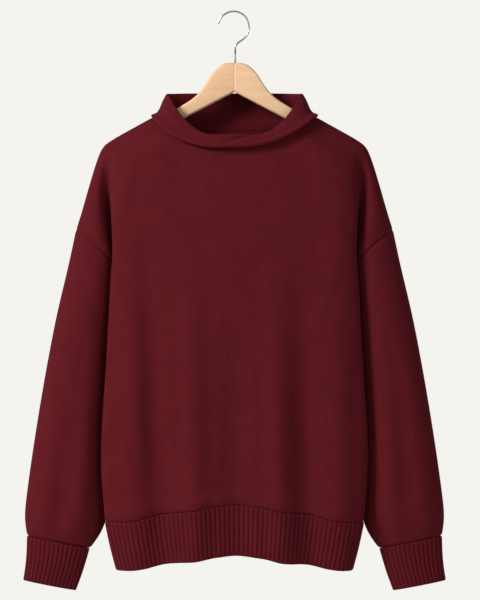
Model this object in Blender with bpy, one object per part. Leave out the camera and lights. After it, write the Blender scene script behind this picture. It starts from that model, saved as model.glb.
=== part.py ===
"""Funnel-neck sweater hanging on a wooden hanger with a wire hook.

The scene is in metres. Sizes and tables here are in millimetres, and MM turns them into
metres where they become points. The origin is the inside top of the hook, +Z is up and the
front of the garment faces -Y. Every cloth piece is a thin wall: an outer surface worked out
from its rows or rings, an inner surface moved in by the wall, and edges that join the two.
"""

from collections import namedtuple
import math

import bmesh
import bpy
import numpy as np

MM = 0.001
OBJECT_NAME = "funnel_neck_sweater"

FRONT = -1
BACK = 1
RIGHT = 1
LEFT = -1

# Walls and gaps
BODY_WALL = 2.4
SLEEVE_WALL = 2.4
RIB_WALL = 3.0
SEAM_GAP = 0.3
HEM_SEAM_GAP = 0.5
HALF_GAP = SEAM_GAP / 2
CROTCH_DEPTH = 5.3

# Neck ring, where the collar meets the front and back panels
NECK_HALF_WIDTH = 123.0
NECK_SIDE_Z = -157.0
NECK_SPREAD = 1.1
NECK_VALLEY_TURN = 30.0
NeckEdge = namedtuple("NeckEdge", "depth centre_z")
NECK_EDGE = {FRONT: NeckEdge(38.0, -190.0), BACK: NeckEdge(28.0, -172.5)}

# How a row crosses the body from its centre to the folded edge: reach is the share of the
# edge's width, fall the share of the way back to the edge's depth, and the last two columns
# are the shares of the row's rise in the yoke and of its dip in the skirt
Across = namedtuple("Across", "reach fall yoke_rise skirt_dip")
ACROSS = (
    Across(0.00, 0.00, 0.00, 0.00),
    Across(0.36, 0.08, 0.09, 0.29),
    Across(0.69, 0.31, 0.32, 0.78),
    Across(0.92, 0.60, 0.62, 0.98),
    Across(1.00, 1.00, 0.84, 1.00),
)

# Rows of the yoke below the neck ring. The valley is the crease between body and sleeve,
# drop is the cloth beyond it, and roundness says how far that cloth has become a tube
Yoke = namedtuple(
    "Yoke",
    "front_z back_z front_depth back_depth edge_x edge_depth"
    " valley_x valley_z valley_depth shoulder_x shoulder_z drop_depth roundness",
)
YOKE = (
    Yoke(-213, -197, 41.0, 32.0, 130.0, 23.5, 142.0, -184.0, 18.0, 157.0, -176.0, 0.0, 0.0),
    Yoke(-236, -223, 43.5, 35.0, 160.0, 23.5, 172.0, -202.0, 17.5, 188.0, -194.0, 0.0, 0.0),
    Yoke(-262, -253, 46.0, 38.0, 177.0, 26.5, 187.0, -224.0, 16.0, 203.0, -213.0, 2.0, 0.1),
    Yoke(-298, -292, 48.0, 41.0, 180.0, 30.0, 187.0, -268.0, 11.0, 216.5, -255.0, 12.0, 0.4),
    Yoke(-338, -335, 49.5, 44.0, 181.0, 32.0, 181.0, -322.0, 7.0, 227.5, -293.0, 20.0, 0.8),
    Yoke(-384, -384, 50.5, 46.0, 181.5, 32.0, 168.0, -382.0, 0.15, 237.5, -325.0, 25.0, 1.0),
)

# Rows of the skirt below the underarm, then of the ribbed hem. The seam is the side seam,
# tucked in behind the folded edge
Skirt = namedtuple("Skirt", "centre_z dip front_depth back_depth edge_x edge_depth seam_x")
SKIRT = (
    Skirt(-470.0, 6.0, 51.5, 47.0, 187.5, 32.0, 173.0),
    Skirt(-560.0, 12.0, 52.0, 47.0, 194.0, 31.0, 179.0),
    Skirt(-650.0, 18.0, 51.0, 46.0, 197.5, 29.0, 183.0),
    Skirt(-738.6, 24.4, 48.5, 43.5, 192.5, 26.0, 179.5),
)
HEM = (
    SKIRT[-1],
    Skirt(-777.0, 22.5, 47.5, 42.0, 185.0, 24.0, 172.5),
    Skirt(-813.5, 20.5, 46.5, 41.0, 176.0, 23.0, 164.0),
)

# Long soft folds of the body: where each starts and ends across, and its half width and
# height, with troughs below zero
Fold = namedtuple("Fold", "start_x end_x start_z full_z half_width height")
BODY_END_Z = -820.0
BODY_FOLDS = {
    FRONT: (
        Fold(-150.0, -152.0, -300.0, -620.0, 34.0, 4.0),
        Fold(-138.0, -104.0, -270.0, -640.0, 30.0, -6.0),
        Fold(-70.0, -56.0, -300.0, -640.0, 30.0, 6.5),
        Fold(-2.0, 4.0, -400.0, -660.0, 36.0, -5.0),
        Fold(58.0, 70.0, -320.0, -640.0, 30.0, 7.0),
        Fold(98.0, 112.0, -330.0, -640.0, 28.0, -6.0),
        Fold(150.0, 160.0, -290.0, -620.0, 32.0, 4.0),
    ),
    BACK: (
        Fold(-120.0, -128.0, -300.0, -640.0, 32.0, 4.5),
        Fold(-80.0, -84.0, -280.0, -640.0, 28.0, -5.0),
        Fold(-24.0, -34.0, -340.0, -640.0, 34.0, 5.5),
        Fold(30.0, 20.0, -380.0, -660.0, 30.0, -5.0),
        Fold(84.0, 78.0, -330.0, -640.0, 34.0, 6.0),
        Fold(128.0, 126.0, -300.0, -620.0, 26.0, -4.0),
    ),
}
FOLD_HANG = 0.35

# Stations of a sleeve from the armhole seam to the cuff: the outer and inner edge of each
# ring, its half depth, and how sharply its inner edge is pinched against the body
Sleeve = namedtuple("Sleeve", "outer_x outer_z inner_x inner_z depth pinch")
SLEEVE = (
    Sleeve(237.5, -325.0, 168.0, -382.0, 25.0, 2.3),
    Sleeve(249.0, -379.0, 172.3, -425.0, 26.5, 2.3),
    Sleeve(261.5, -431.6, 177.0, -470.0, 28.0, 2.1),
    Sleeve(273.7, -489.0, 182.0, -524.0, 28.5, 1.9),
    Sleeve(289.3, -575.0, 187.0, -608.0, 29.0, 1.8),
    Sleeve(303.0, -661.0, 188.8, -690.0, 28.0, 1.7),
    Sleeve(311.0, -718.5, 190.0, -744.0, 26.5, 1.6),
    Sleeve(314.3, -756.0, 199.5, -778.0, 23.0, 1.5),
    Sleeve(311.0, -785.0, 217.0, -804.0, 16.5, 1.4),
)
CUFF = (
    Sleeve(312.5, -820.0, 226.5, -836.0, 14.5, 1.3),
    Sleeve(316.6, -850.5, 237.4, -866.0, 13.5, 1.3),
)

# Long soft folds of a sleeve: across is the share of the way from its inner to its outer
# edge, along the share of the way down
SleeveFold = namedtuple("SleeveFold", "across along half_width half_length height")
SLEEVE_FOLDS = {
    LEFT: (
        SleeveFold(0.30, 0.62, 0.20, 0.42, 4.0),
        SleeveFold(0.56, 0.82, 0.18, 0.30, -4.0),
        SleeveFold(0.78, 0.70, 0.18, 0.40, 2.0),
    ),
    RIGHT: (
        SleeveFold(0.34, 0.70, 0.20, 0.36, 3.0),
        SleeveFold(0.60, 0.60, 0.20, 0.34, -3.0),
        SleeveFold(0.78, 0.84, 0.18, 0.26, 2.5),
    ),
}

# Rings of the collar from its seam, over the slumped fold at the front, up to the rim and
# down the inside. Fullness squares the ring off, spread widens its dip at the front, and
# sway lifts the right of the front and lowers the left
Ring = namedtuple("Ring", "half_width side_z front_y front_z back_y back_z fullness spread sway")
COLLAR = (
    Ring(124.2, -156.4, 39.2, -189.5, 29.2, -172.0, 1.00, 1.10, 0.0),
    Ring(124.6, -156.1, 43.0, -197.0, 29.6, -170.5, 0.90, 1.08, 1.5),
    Ring(125.0, -155.6, 48.0, -204.3, 30.2, -168.0, 0.80, 1.05, 3.0),
    Ring(124.0, -153.0, 51.5, -200.0, 30.4, -163.0, 0.80, 1.05, 3.0),
    Ring(116.0, -149.0, 49.0, -195.0, 30.0, -152.0, 0.85, 1.10, 2.0),
    Ring(109.5, -136.0, 46.5, -189.0, 28.8, -137.0, 0.92, 1.20, 1.0),
    Ring(103.6, -124.5, 44.0, -186.0, 27.2, -123.0, 1.00, 1.25, 0.0),
    Ring(101.2, -122.3, 42.0, -184.7, 25.2, -121.2, 1.00, 1.25, 0.0),
    Ring(99.0, -124.0, 40.0, -186.2, 23.2, -122.8, 1.00, 1.25, 0.0),
    Ring(106.0, -140.0, 36.6, -187.6, 24.4, -146.0, 1.00, 1.20, 0.0),
    Ring(119.6, -156.4, 34.8, -189.3, 24.8, -171.8, 1.00, 1.10, 0.0),
)
COLLAR_SECTIONS = 56

# Mesh density
BODY_COLUMNS = 14
DROP_COLUMNS = 9
COLUMN_CROWDING = 1.2
DENSE = 240
YOKE_ROWS = (0.0, 0.6, 1.3, 2.0, 2.6, 3.3, 4.1, 5.0, 5.6, 6.0)
SKIRT_ROWS = (7.2, 8.6, 10.0, 11.4, 12.7, 14.0)
SKIRT_STEP = 2.0
SLEEVE_RINGS = 16

# Ribs
HEM_RIBS = 64
CUFF_RIBS = 30
RIB_HEIGHT = 1.3
POINTS_PER_RIB = 2

# Hanger
WOOD_THICKNESS = 14.0
WOOD_EDGE_ROUND = 4.5
ARM_SLOPE = 0.53
ARM_TOP_END_X = 178.0
APEX_Z = -119.6
JOINT_GAP = 0.3
Outline = namedtuple("Outline", "x z")
WOOD_TOP = (
    Outline(0.0, -76.0),
    Outline(14.0, -76.8),
    Outline(25.0, -83.0),
    Outline(34.5, -93.5),
    Outline(44.0, -108.5),
    Outline(54.5, -122.0),
    Outline(68.5, -133.5),
    Outline(84.5, -143.2),
)
ARM_TIP = (
    Outline(184.6, -197.0),
    Outline(187.6, -202.5),
    Outline(188.5, -209.0),
    Outline(187.2, -214.5),
    Outline(183.0, -216.2),
)
WOOD_TOP_STEP = 6.5
WIRE = 2.6
HOOK_RADIUS = 23.3
HOOK_CENTRE_X = -1.3
HOOK_TIP_ANGLE = 166.0
HOOK_LEAVE_ANGLE = -52.0
HOOK_STEM_X = 1.2
HOOK_STEM_TOP_Z = -54.0
HOOK_STEM_FOOT_Z = -75.65
HOOK_ARC_STEPS = 26
HOOK_BEND_STEPS = 8

# Finishes: linear colour, roughness, metallic
Finish = namedtuple("Finish", "colour roughness metallic")
KNIT = Finish((0.080, 0.0052, 0.0091, 1.0), 0.92, 0.0)
RIB_KNIT = Finish((0.074, 0.0049, 0.0086, 1.0), 0.92, 0.0)
PALE_WOOD = Finish((0.775, 0.491, 0.287, 1.0), 0.48, 0.0)
WARM_WOOD = Finish((0.730, 0.440, 0.245, 1.0), 0.48, 0.0)
STEEL = Finish((0.62, 0.61, 0.60, 1.0), 0.22, 1.0)


def clear_scene():
    """Remove what the file opens with."""
    for thing in list(bpy.data.objects):
        bpy.data.objects.remove(thing, do_unlink=True)


def finish_material(name, finish):
    """A Principled material with one colour, roughness and metallic value."""
    material = bpy.data.materials.new(name)
    material.use_nodes = True
    shader = material.node_tree.nodes["Principled BSDF"]
    shader.inputs["Base Color"].default_value = finish.colour
    shader.inputs["Roughness"].default_value = finish.roughness
    shader.inputs["Metallic"].default_value = finish.metallic
    material.diffuse_color = finish.colour
    return material


def spline(knots, values, at):
    """Natural cubic curve through the values, one row for each knot, read at given places."""
    knots = np.asarray(knots, float)
    values = np.asarray(values, float)
    at = np.asarray(at, float)
    count = len(knots)
    flat = values.reshape(count, -1)
    steps = np.diff(knots)
    slopes = np.diff(flat, axis=0) / steps[:, None]
    system = np.eye(count)
    right = np.zeros_like(flat)
    for k in range(1, count - 1):
        system[k, k - 1] = steps[k - 1]
        system[k, k] = 2 * (steps[k - 1] + steps[k])
        system[k, k + 1] = steps[k]
        right[k] = 6 * (slopes[k] - slopes[k - 1])
    bend = np.linalg.solve(system, right)
    piece = np.clip(np.searchsorted(knots, at, side="right") - 1, 0, count - 2)
    step = steps[piece][:, None]
    before = (at - knots[piece])[:, None]
    after = (knots[piece + 1] - at)[:, None]
    found = (
        bend[piece] * after**3 / (6 * step)
        + bend[piece + 1] * before**3 / (6 * step)
        + (flat[piece] / step - bend[piece] * step / 6) * after
        + (flat[piece + 1] / step - bend[piece + 1] * step / 6) * before
    )
    return found.reshape((len(at),) + values.shape[1:])


def lengths_along(points):
    """Distance along a line of points, starting at 0."""
    steps = np.linalg.norm(np.diff(points, axis=0), axis=1)
    return np.concatenate([[0.0], np.cumsum(steps)])


def read_along(points, shares):
    """Points at the given shares of a line's length."""
    along = lengths_along(points)
    places = np.asarray(shares) * along[-1]
    return np.stack([np.interp(places, along, points[:, k]) for k in range(3)], axis=1)


def smoothstep(share):
    """0 to 1 with level ends."""
    share = np.clip(share, 0.0, 1.0)
    return share * share * (3 - 2 * share)


def bell(share):
    """1 at 0, falling smoothly to 0 at 1 and beyond on either side."""
    return 0.5 + 0.5 * np.cos(np.pi * np.clip(np.abs(share), 0.0, 1.0))


def dip(turn, spread):
    """Share of a ring's drop at a turn from its centre, 0 at the centre and 90 at the side."""
    return smoothstep(spread * (1 - np.abs(turn) / 90.0))


def fold_relief(x, z, folds):
    """Height that long folds add to a panel at x and z."""
    total = np.zeros_like(x)
    for fold in folds:
        down = np.clip((fold.start_z - z) / (fold.start_z - BODY_END_Z), 0.0, 1.0)
        line = fold.start_x + (fold.end_x - fold.start_x) * down
        growth = smoothstep((fold.start_z - z) / (fold.start_z - fold.full_z))
        total += fold.height * growth * bell((x - line) / fold.half_width)
    return total


def neck_row(facing):
    """The right half of a panel's neck edge: body columns, then drop columns."""
    edge = NECK_EDGE[facing]
    body = np.linspace(0.0, 90.0 - NECK_VALLEY_TURN, BODY_COLUMNS + 1)
    drop = np.linspace(90.0 - NECK_VALLEY_TURN, 90.0, DROP_COLUMNS + 1)[1:]
    turn = np.concatenate([body, drop])
    angle = np.radians(turn)
    x = NECK_HALF_WIDTH * np.sin(angle)
    y = facing * np.maximum(edge.depth * np.cos(angle), HALF_GAP)
    z = NECK_SIDE_Z + (edge.centre_z - NECK_SIDE_Z) * dip(turn, NECK_SPREAD)
    return np.stack([x, y, z], axis=1)


def across_body(facing, centre_z, centre_depth, edge_x, edge_depth, rises, end):
    """The right half of a row as a dense line, from the centre over the edge to its end."""
    half = [
        (
            edge_x * place.reach,
            facing * (centre_depth + (edge_depth - centre_depth) * place.fall),
            centre_z + rise,
        )
        for place, rise in zip(ACROSS, rises)
    ]
    half.append(end)
    mirrored = [(-x, y, z) for x, y, z in half[:0:-1]]
    points = np.array(mirrored + half)
    along = lengths_along(points)
    middle = along[len(mirrored)]
    return spline(along, points, np.linspace(middle, along[-1], DENSE))


def body_shares():
    """Places of the body columns along a row, closer together near the folded edge."""
    steps = np.arange(BODY_COLUMNS + 1) / BODY_COLUMNS
    return 1 - (1 - steps) ** COLUMN_CROWDING


def yoke_row(row, facing):
    """The right half of a yoke row: body columns, then drop columns to the shoulder seam."""
    centre_z = row.front_z if facing == FRONT else row.back_z
    depth = row.front_depth if facing == FRONT else row.back_depth
    rises = [(row.valley_z - centre_z) * place.yoke_rise for place in ACROSS]
    valley = (row.valley_x, facing * row.valley_depth, row.valley_z)
    line = across_body(facing, centre_z, depth, row.edge_x, row.edge_depth, rises, valley)
    body = read_along(line, body_shares())
    angle = np.linspace(0.0, np.pi, DROP_COLUMNS + 1)[1:]
    out = (1 - row.roundness) * np.sin(angle / 2) + row.roundness * (1 - np.cos(angle)) / 2
    x = row.valley_x + (row.shoulder_x - row.valley_x) * out
    z = row.valley_z + (row.shoulder_z - row.valley_z) * out
    swell = row.drop_depth * np.sin(angle) ** pinch_power(angle, SLEEVE[0].pinch)
    turn_in = np.sqrt(1 - np.sin(angle / 2) ** (1 + row.roundness))
    y = facing * np.maximum(row.valley_depth * turn_in + swell, HALF_GAP)
    return np.concatenate([body, np.stack([x, y, z], axis=1)])


def pinch_power(angle, pinch):
    """Power of the sine that gives a ring's depth: a pinched inner half, a round outer one."""
    return np.where(angle < np.pi / 2, pinch, 1.0)


def skirt_line(row, facing):
    """The right half of a skirt or hem row as a dense line ending at the side seam."""
    depth = row.front_depth if facing == FRONT else row.back_depth
    rises = [-row.dip * place.skirt_dip for place in ACROSS]
    seam = (row.seam_x, facing * HALF_GAP, row.centre_z - row.dip)
    return across_body(facing, row.centre_z, depth, row.edge_x, row.edge_depth, rises, seam)


def with_folds(points, facing):
    """The same points pushed out and hung down by the body's long folds."""
    moved = points.copy()
    relief = fold_relief(points[..., 0], points[..., 2], BODY_FOLDS[facing])
    clear = smoothstep((np.abs(points[..., 1]) - 8.0) / 20.0)
    moved[..., 1] += facing * relief * clear
    hang = FOLD_HANG * smoothstep((SKIRT[1].centre_z - points[..., 2]) / 180.0)
    moved[..., 2] -= relief * clear * hang
    return moved


def mirrored_row(row):
    """A whole row from its right half, left end first."""
    left = row[:0:-1] * np.array([-1.0, 1.0, 1.0])
    return np.concatenate([left, row])


def normals_of(points, quads):
    """A unit normal at each point, from the faces round it."""
    normals = np.zeros_like(points)
    for quad in quads:
        a, b, c, d = (points[k] for k in quad)
        face = np.cross(c - a, d - b)
        for k in quad:
            normals[k] += face
    return normals / np.linalg.norm(normals, axis=1)[:, None]


def flattened(normals, places, direction):
    """The normals with their share along a direction taken out at some places."""
    direction = np.asarray(direction, float)
    direction = direction / np.linalg.norm(direction)
    kept = normals[places] - np.outer(normals[places] @ direction, direction)
    normals[places] = kept / np.linalg.norm(kept, axis=1)[:, None]


def grid_quads(rows, columns, closed=False):
    """Quads of a grid of points; closed joins its last column to its first."""
    quads = []
    for r in range(rows - 1):
        for c in range(columns if closed else columns - 1):
            after = (c + 1) % columns
            quads.append((r * columns + c, r * columns + after,
                          (r + 1) * columns + after, (r + 1) * columns + c))
    return quads


def turned_out(points, quads, outward):
    """The quads with their order reversed if the first ones face away from outward."""
    a, b, c, d = (points[k] for k in quads[0])
    if np.dot(np.cross(c - a, d - b), outward) < 0:
        return [quad[::-1] for quad in quads]
    return quads


def add_wall(name, outer, inner, quads, material, collection):
    """One closed wall from an outer and an inner surface with the same quads."""
    count = len(outer)
    faces = list(quads)
    faces += [tuple(k + count for k in reversed(quad)) for quad in quads]
    edges = {}
    for quad in quads:
        for a, b in zip(quad, quad[1:] + quad[:1]):
            edges[a, b] = True
    for a, b in edges:
        if (b, a) not in edges:
            faces.append((b, a, a + count, b + count))
    mesh = bpy.data.meshes.new(name)
    points = np.concatenate([outer, inner]) * MM
    mesh.from_pydata(points.tolist(), [], faces)
    mesh.materials.append(material)
    return add_mesh(name, mesh, collection)


def add_mesh(name, mesh, collection):
    """An object for a mesh, smooth but for its sharp edges."""
    mesh.update()
    mesh.shade_smooth()
    mesh.set_sharp_from_angle(angle=math.radians(50))
    thing = bpy.data.objects.new(name, mesh)
    collection.objects.link(thing)
    return thing


def add_panel(name, facing, material, collection):
    """The front or back of the body with its two drop shoulders, in one piece."""
    yoke = [neck_row(facing)] + [yoke_row(row, facing) for row in YOKE]
    skirt = [read_along(skirt_line(row, facing), body_shares()) for row in SKIRT]
    last_yoke = float(len(yoke) - 1)
    yoke_knots = list(np.arange(len(yoke)))
    knots = yoke_knots + [last_yoke + SKIRT_STEP * (k + 1) for k in range(len(skirt))]
    body_stations = [row[: BODY_COLUMNS + 1] for row in yoke] + skirt
    body = spline(knots, np.array(body_stations), YOKE_ROWS + SKIRT_ROWS)
    drop_stations = [row[BODY_COLUMNS + 1:] for row in yoke]
    drop = spline(yoke_knots, np.array(drop_stations), YOKE_ROWS)
    body[:, :, 1] = facing * np.maximum(facing * body[:, :, 1], HALF_GAP)
    drop[:, :, 1] = facing * np.maximum(facing * drop[:, :, 1], HALF_GAP)
    drop[:, -1, 1] = facing * HALF_GAP
    body[len(YOKE_ROWS) - 1:, -1, 1] = facing * HALF_GAP

    wide = np.array([mirrored_row(np.concatenate(pair)) for pair in zip(body, drop)])
    narrow = np.array([mirrored_row(row) for row in body[len(YOKE_ROWS):]])
    wide = with_folds(wide, facing)
    narrow = with_folds(narrow, facing)
    wide_columns = wide.shape[1]
    narrow_columns = narrow.shape[1]
    points = np.concatenate([wide.reshape(-1, 3), narrow.reshape(-1, 3)])
    quads = grid_quads(len(YOKE_ROWS), wide_columns)
    last_wide = (len(YOKE_ROWS) - 1) * wide_columns
    underarm = np.arange(narrow_columns) + last_wide + DROP_COLUMNS
    rows_below = [underarm]
    for r in range(len(narrow)):
        rows_below.append(np.arange(narrow_columns) + wide.shape[0] * wide_columns + r * narrow_columns)
    for above, below in zip(rows_below, rows_below[1:]):
        for c in range(narrow_columns - 1):
            quads.append((int(above[c]), int(above[c + 1]), int(below[c + 1]), int(below[c])))
    quads = turned_out(points, quads, (0.0, facing, 0.0))

    normals = normals_of(points, quads)
    shoulder = [r * wide_columns + c for r in range(wide.shape[0]) for c in (0, wide_columns - 1)]
    side_seam = [int(row[c]) for row in rows_below[1:] for c in (0, -1)]
    flattened(normals, shoulder + side_seam, (0.0, 1.0, 0.0))
    flattened(normals, list(rows_below[-1]), (0.0, 0.0, 1.0))
    armhole_axis = sleeve_axis(SLEEVE[0])
    for side in (LEFT, RIGHT):
        start = last_wide + (0 if side == LEFT else wide_columns - DROP_COLUMNS)
        places = list(range(start, start + DROP_COLUMNS))
        flattened(normals, places, armhole_axis * np.array([side, 1.0, 1.0]))
    inner = points - BODY_WALL * normals
    inner[:, 1] = facing * np.maximum(facing * inner[:, 1], HALF_GAP)
    for corner in (int(underarm[0]), int(underarm[-1])):
        inner[corner] = points[corner] + np.array([0.0, 0.0, CROTCH_DEPTH])
    return add_wall(name, points, inner, quads, material, collection)


def sleeve_axis(station):
    """Unit direction down the sleeve, square to a ring, on the right side."""
    across = np.array([station.outer_x - station.inner_x, 0.0, station.outer_z - station.inner_z])
    axis = np.array([across[2], 0.0, -across[0]])
    return axis / np.linalg.norm(axis)


def ring_of(station, angles):
    """Points round a sleeve ring on the right side: front from the inner edge, then back."""
    out = (1 - np.cos(angles)) / 2
    half_turn = np.minimum(angles, 2 * np.pi - angles)
    depth = station.depth * np.abs(np.sin(half_turn)) ** pinch_power(half_turn, station.pinch)
    x = station.inner_x + (station.outer_x - station.inner_x) * out
    z = station.inner_z + (station.outer_z - station.inner_z) * out
    facing = np.where(angles < np.pi, FRONT, BACK)
    return np.stack([x, facing * depth, z], axis=1)


def sleeve_relief(across, along, folds):
    """Height that long folds add to a sleeve."""
    total = np.zeros_like(across)
    for fold in folds:
        total += (
            fold.height
            * bell((across - fold.across) / fold.half_width)
            * bell((along - fold.along) / fold.half_length)
        )
    return total


def tube_normals(points, quads, rings, columns, axes):
    """Outward normals of a tube, kept square to its axis at both ends."""
    normals = normals_of(points, quads)
    for r, axis in ((0, axes[0]), (rings - 1, axes[1])):
        flattened(normals, list(range(r * columns, (r + 1) * columns)), axis)
    return normals


def add_sleeve(name, side, material, collection):
    """A sleeve as a flattened tube from the armhole seam to the cuff."""
    knots = np.arange(len(SLEEVE))
    places = np.linspace(0.0, knots[-1], SLEEVE_RINGS)
    stations = [Sleeve(*row) for row in spline(knots, np.array(SLEEVE, float), places)]
    columns = 2 * DROP_COLUMNS
    angles = np.arange(columns) * np.pi / DROP_COLUMNS
    across = (1 - np.cos(angles)) / 2
    rings = []
    for place, station in zip(places, stations):
        ring = ring_of(station, angles)
        along = place / knots[-1]
        relief = sleeve_relief(across, np.full(columns, along), SLEEVE_FOLDS[side])
        relief *= smoothstep(5 * along) * smoothstep(5 * (1 - along))
        ring[:, 1] += np.sign(ring[:, 1]) * relief * np.sin(angles) ** 2
        rings.append(ring)
    rings[0] += SEAM_GAP * sleeve_axis(SLEEVE[0])
    points = np.concatenate(rings)
    quads = grid_quads(SLEEVE_RINGS, columns, closed=True)
    axes = (sleeve_axis(SLEEVE[0]), sleeve_axis(SLEEVE[-1]))
    return add_tube(name, side, points, quads, SLEEVE_RINGS, columns, axes, SLEEVE_WALL,
                    material, collection)


def add_tube(name, side, points, quads, rings, columns, axes, wall, material, collection):
    """A tube's wall, mirrored to its side."""
    quads = turned_out(points, quads, points[quads[0][0]] - points[:columns].mean(axis=0))
    normals = tube_normals(points, quads, rings, columns, axes)
    inner = points - wall * normals
    if side == LEFT:
        flip = np.array([-1.0, 1.0, 1.0])
        points = points * flip
        inner = inner * flip
        quads = [quad[::-1] for quad in quads]
    return add_wall(name, points, inner, quads, material, collection)


def ribbed(outline, normals, count):
    """Ridges and grooves in turn, moved out and in from an outline of points."""
    lift = np.where(np.arange(count) % POINTS_PER_RIB == 0, 0.5, -0.5) * RIB_HEIGHT
    return outline + lift[:, None] * normals


def add_hem(name, facing, material, collection):
    """A ribbed hem band from side seam to side seam."""
    columns = HEM_RIBS * POINTS_PER_RIB + 1
    shares = np.linspace(0.0, 1.0, columns)
    rows = []
    for row in HEM:
        whole = with_folds(mirrored_row(skirt_line(row, facing)), facing)
        rows.append(read_along(whole, shares))
    panel_foot = mirrored_row(read_along(skirt_line(SKIRT[-1], facing), body_shares()))
    foot_z = read_along(with_folds(panel_foot, facing), shares)[:, 2]
    rows[0][:, 2] = np.minimum(rows[0][:, 2], foot_z) - HEM_SEAM_GAP
    points = np.concatenate(rows)
    quads = turned_out(points, grid_quads(len(HEM), columns), (0.0, facing, 0.0))
    normals = normals_of(points, quads)
    everywhere = list(range(len(points)))
    flattened(normals, everywhere, (0.0, 0.0, 1.0))
    seams = [r * columns + c for r in range(len(HEM)) for c in (0, columns - 1)]
    flattened(normals, seams, (0.0, 1.0, 0.0))
    outer = np.concatenate([
        ribbed(points[r * columns:(r + 1) * columns], normals[r * columns:(r + 1) * columns], columns)
        for r in range(len(HEM))
    ])
    inner = points - (RIB_WALL - RIB_HEIGHT / 2) * normals
    outer[:, 1] = facing * np.maximum(facing * outer[:, 1], HALF_GAP)
    inner[:, 1] = facing * np.maximum(facing * inner[:, 1], HALF_GAP)
    return add_wall(name, outer, inner, quads, material, collection)


def cuff_stations():
    """The cuff's rings, the first one a seam's gap below the sleeve's last."""
    last = SLEEVE[-1]
    step = SEAM_GAP * sleeve_axis(last)
    first = last._replace(
        outer_x=last.outer_x + step[0],
        outer_z=last.outer_z + step[2],
        inner_x=last.inner_x + step[0],
        inner_z=last.inner_z + step[2],
    )
    return (first,) + CUFF


def add_cuff(name, side, material, collection):
    """A ribbed cuff as a narrowing tube."""
    columns = CUFF_RIBS * POINTS_PER_RIB
    dense_angles = np.linspace(0.0, 2 * np.pi, DENSE, endpoint=False)
    stations = cuff_stations()
    rings = []
    for station in stations:
        ring = ring_of(station, dense_angles)
        closed = np.concatenate([ring, ring[:1]])
        rings.append(read_along(closed, np.arange(columns) / columns))
    points = np.concatenate(rings)
    quads = grid_quads(len(stations), columns, closed=True)
    quads = turned_out(points, quads, points[0] - points[:columns].mean(axis=0))
    normals = normals_of(points, quads)
    for r, station in enumerate(stations):
        flattened(normals, list(range(r * columns, (r + 1) * columns)), sleeve_axis(station))
    outer = np.concatenate([
        ribbed(points[r * columns:(r + 1) * columns], normals[r * columns:(r + 1) * columns], columns)
        for r in range(len(stations))
    ])
    inner = points - (RIB_WALL - RIB_HEIGHT / 2) * normals
    if side == LEFT:
        flip = np.array([-1.0, 1.0, 1.0])
        outer = outer * flip
        inner = inner * flip
        quads = [quad[::-1] for quad in quads]
    return add_wall(name, outer, inner, quads, material, collection)


def collar_ring(ring, turns):
    """Points round one collar ring; 0 is the front, 90 the right and 180 the back."""
    angle = np.radians(turns)
    front = np.cos(angle) > 0
    reach = np.sign(np.sin(angle)) * np.abs(np.sin(angle)) ** ring.fullness
    depth = np.abs(np.cos(angle)) ** ring.fullness
    from_centre = np.abs(np.where(np.abs(turns) > 90, 180 - np.abs(turns), turns))
    share = dip(from_centre, ring.spread)
    y = np.where(front, -ring.front_y, ring.back_y) * depth
    centre_z = np.where(front, ring.front_z, ring.back_z)
    z = ring.side_z + (centre_z - ring.side_z) * share
    z = z + np.where(front, ring.sway * np.sin(2 * angle), 0.0)
    return np.stack([ring.half_width * reach, y, z], axis=1)


def add_collar(material, collection):
    """The funnel neck: a double layer, slumped over its own seam at the front."""
    turns = np.linspace(-180.0, 180.0, COLLAR_SECTIONS, endpoint=False)
    rings = [collar_ring(ring, turns) for ring in COLLAR]
    points = np.concatenate(rings) * MM
    quads = grid_quads(len(COLLAR) + 1, COLLAR_SECTIONS, closed=True)
    total = len(points)
    faces = [tuple(k % total for k in quad) for quad in quads]
    mesh = bpy.data.meshes.new("collar")
    mesh.from_pydata(points.tolist(), [], faces)
    face_outward(mesh)
    mesh.materials.append(material)
    return add_mesh("collar", mesh, collection)


def face_outward(mesh):
    """Turn a closed mesh's faces out."""
    work = bmesh.new()
    work.from_mesh(mesh)
    bmesh.ops.recalc_face_normals(work, faces=work.faces)
    work.to_mesh(mesh)
    work.free()


def wood_outline():
    """Right half of the hanger's outline, from the top of its joint to the bottom of it."""
    top = np.array(WOOD_TOP)
    along = np.concatenate([[0.0], np.cumsum(np.linalg.norm(np.diff(top, axis=0), axis=1))])
    steps = int(along[-1] / WOOD_TOP_STEP)
    curve = spline(along, top, np.linspace(0.0, along[-1], steps))
    last = WOOD_TOP[-1]
    shoulder = (ARM_TOP_END_X, last.z - ARM_SLOPE * (ARM_TOP_END_X - last.x))
    points = [tuple(point) for point in curve] + [shoulder]
    points += [(tip.x, tip.z) for tip in ARM_TIP]
    points.append((0.0, APEX_Z))
    return points


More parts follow.
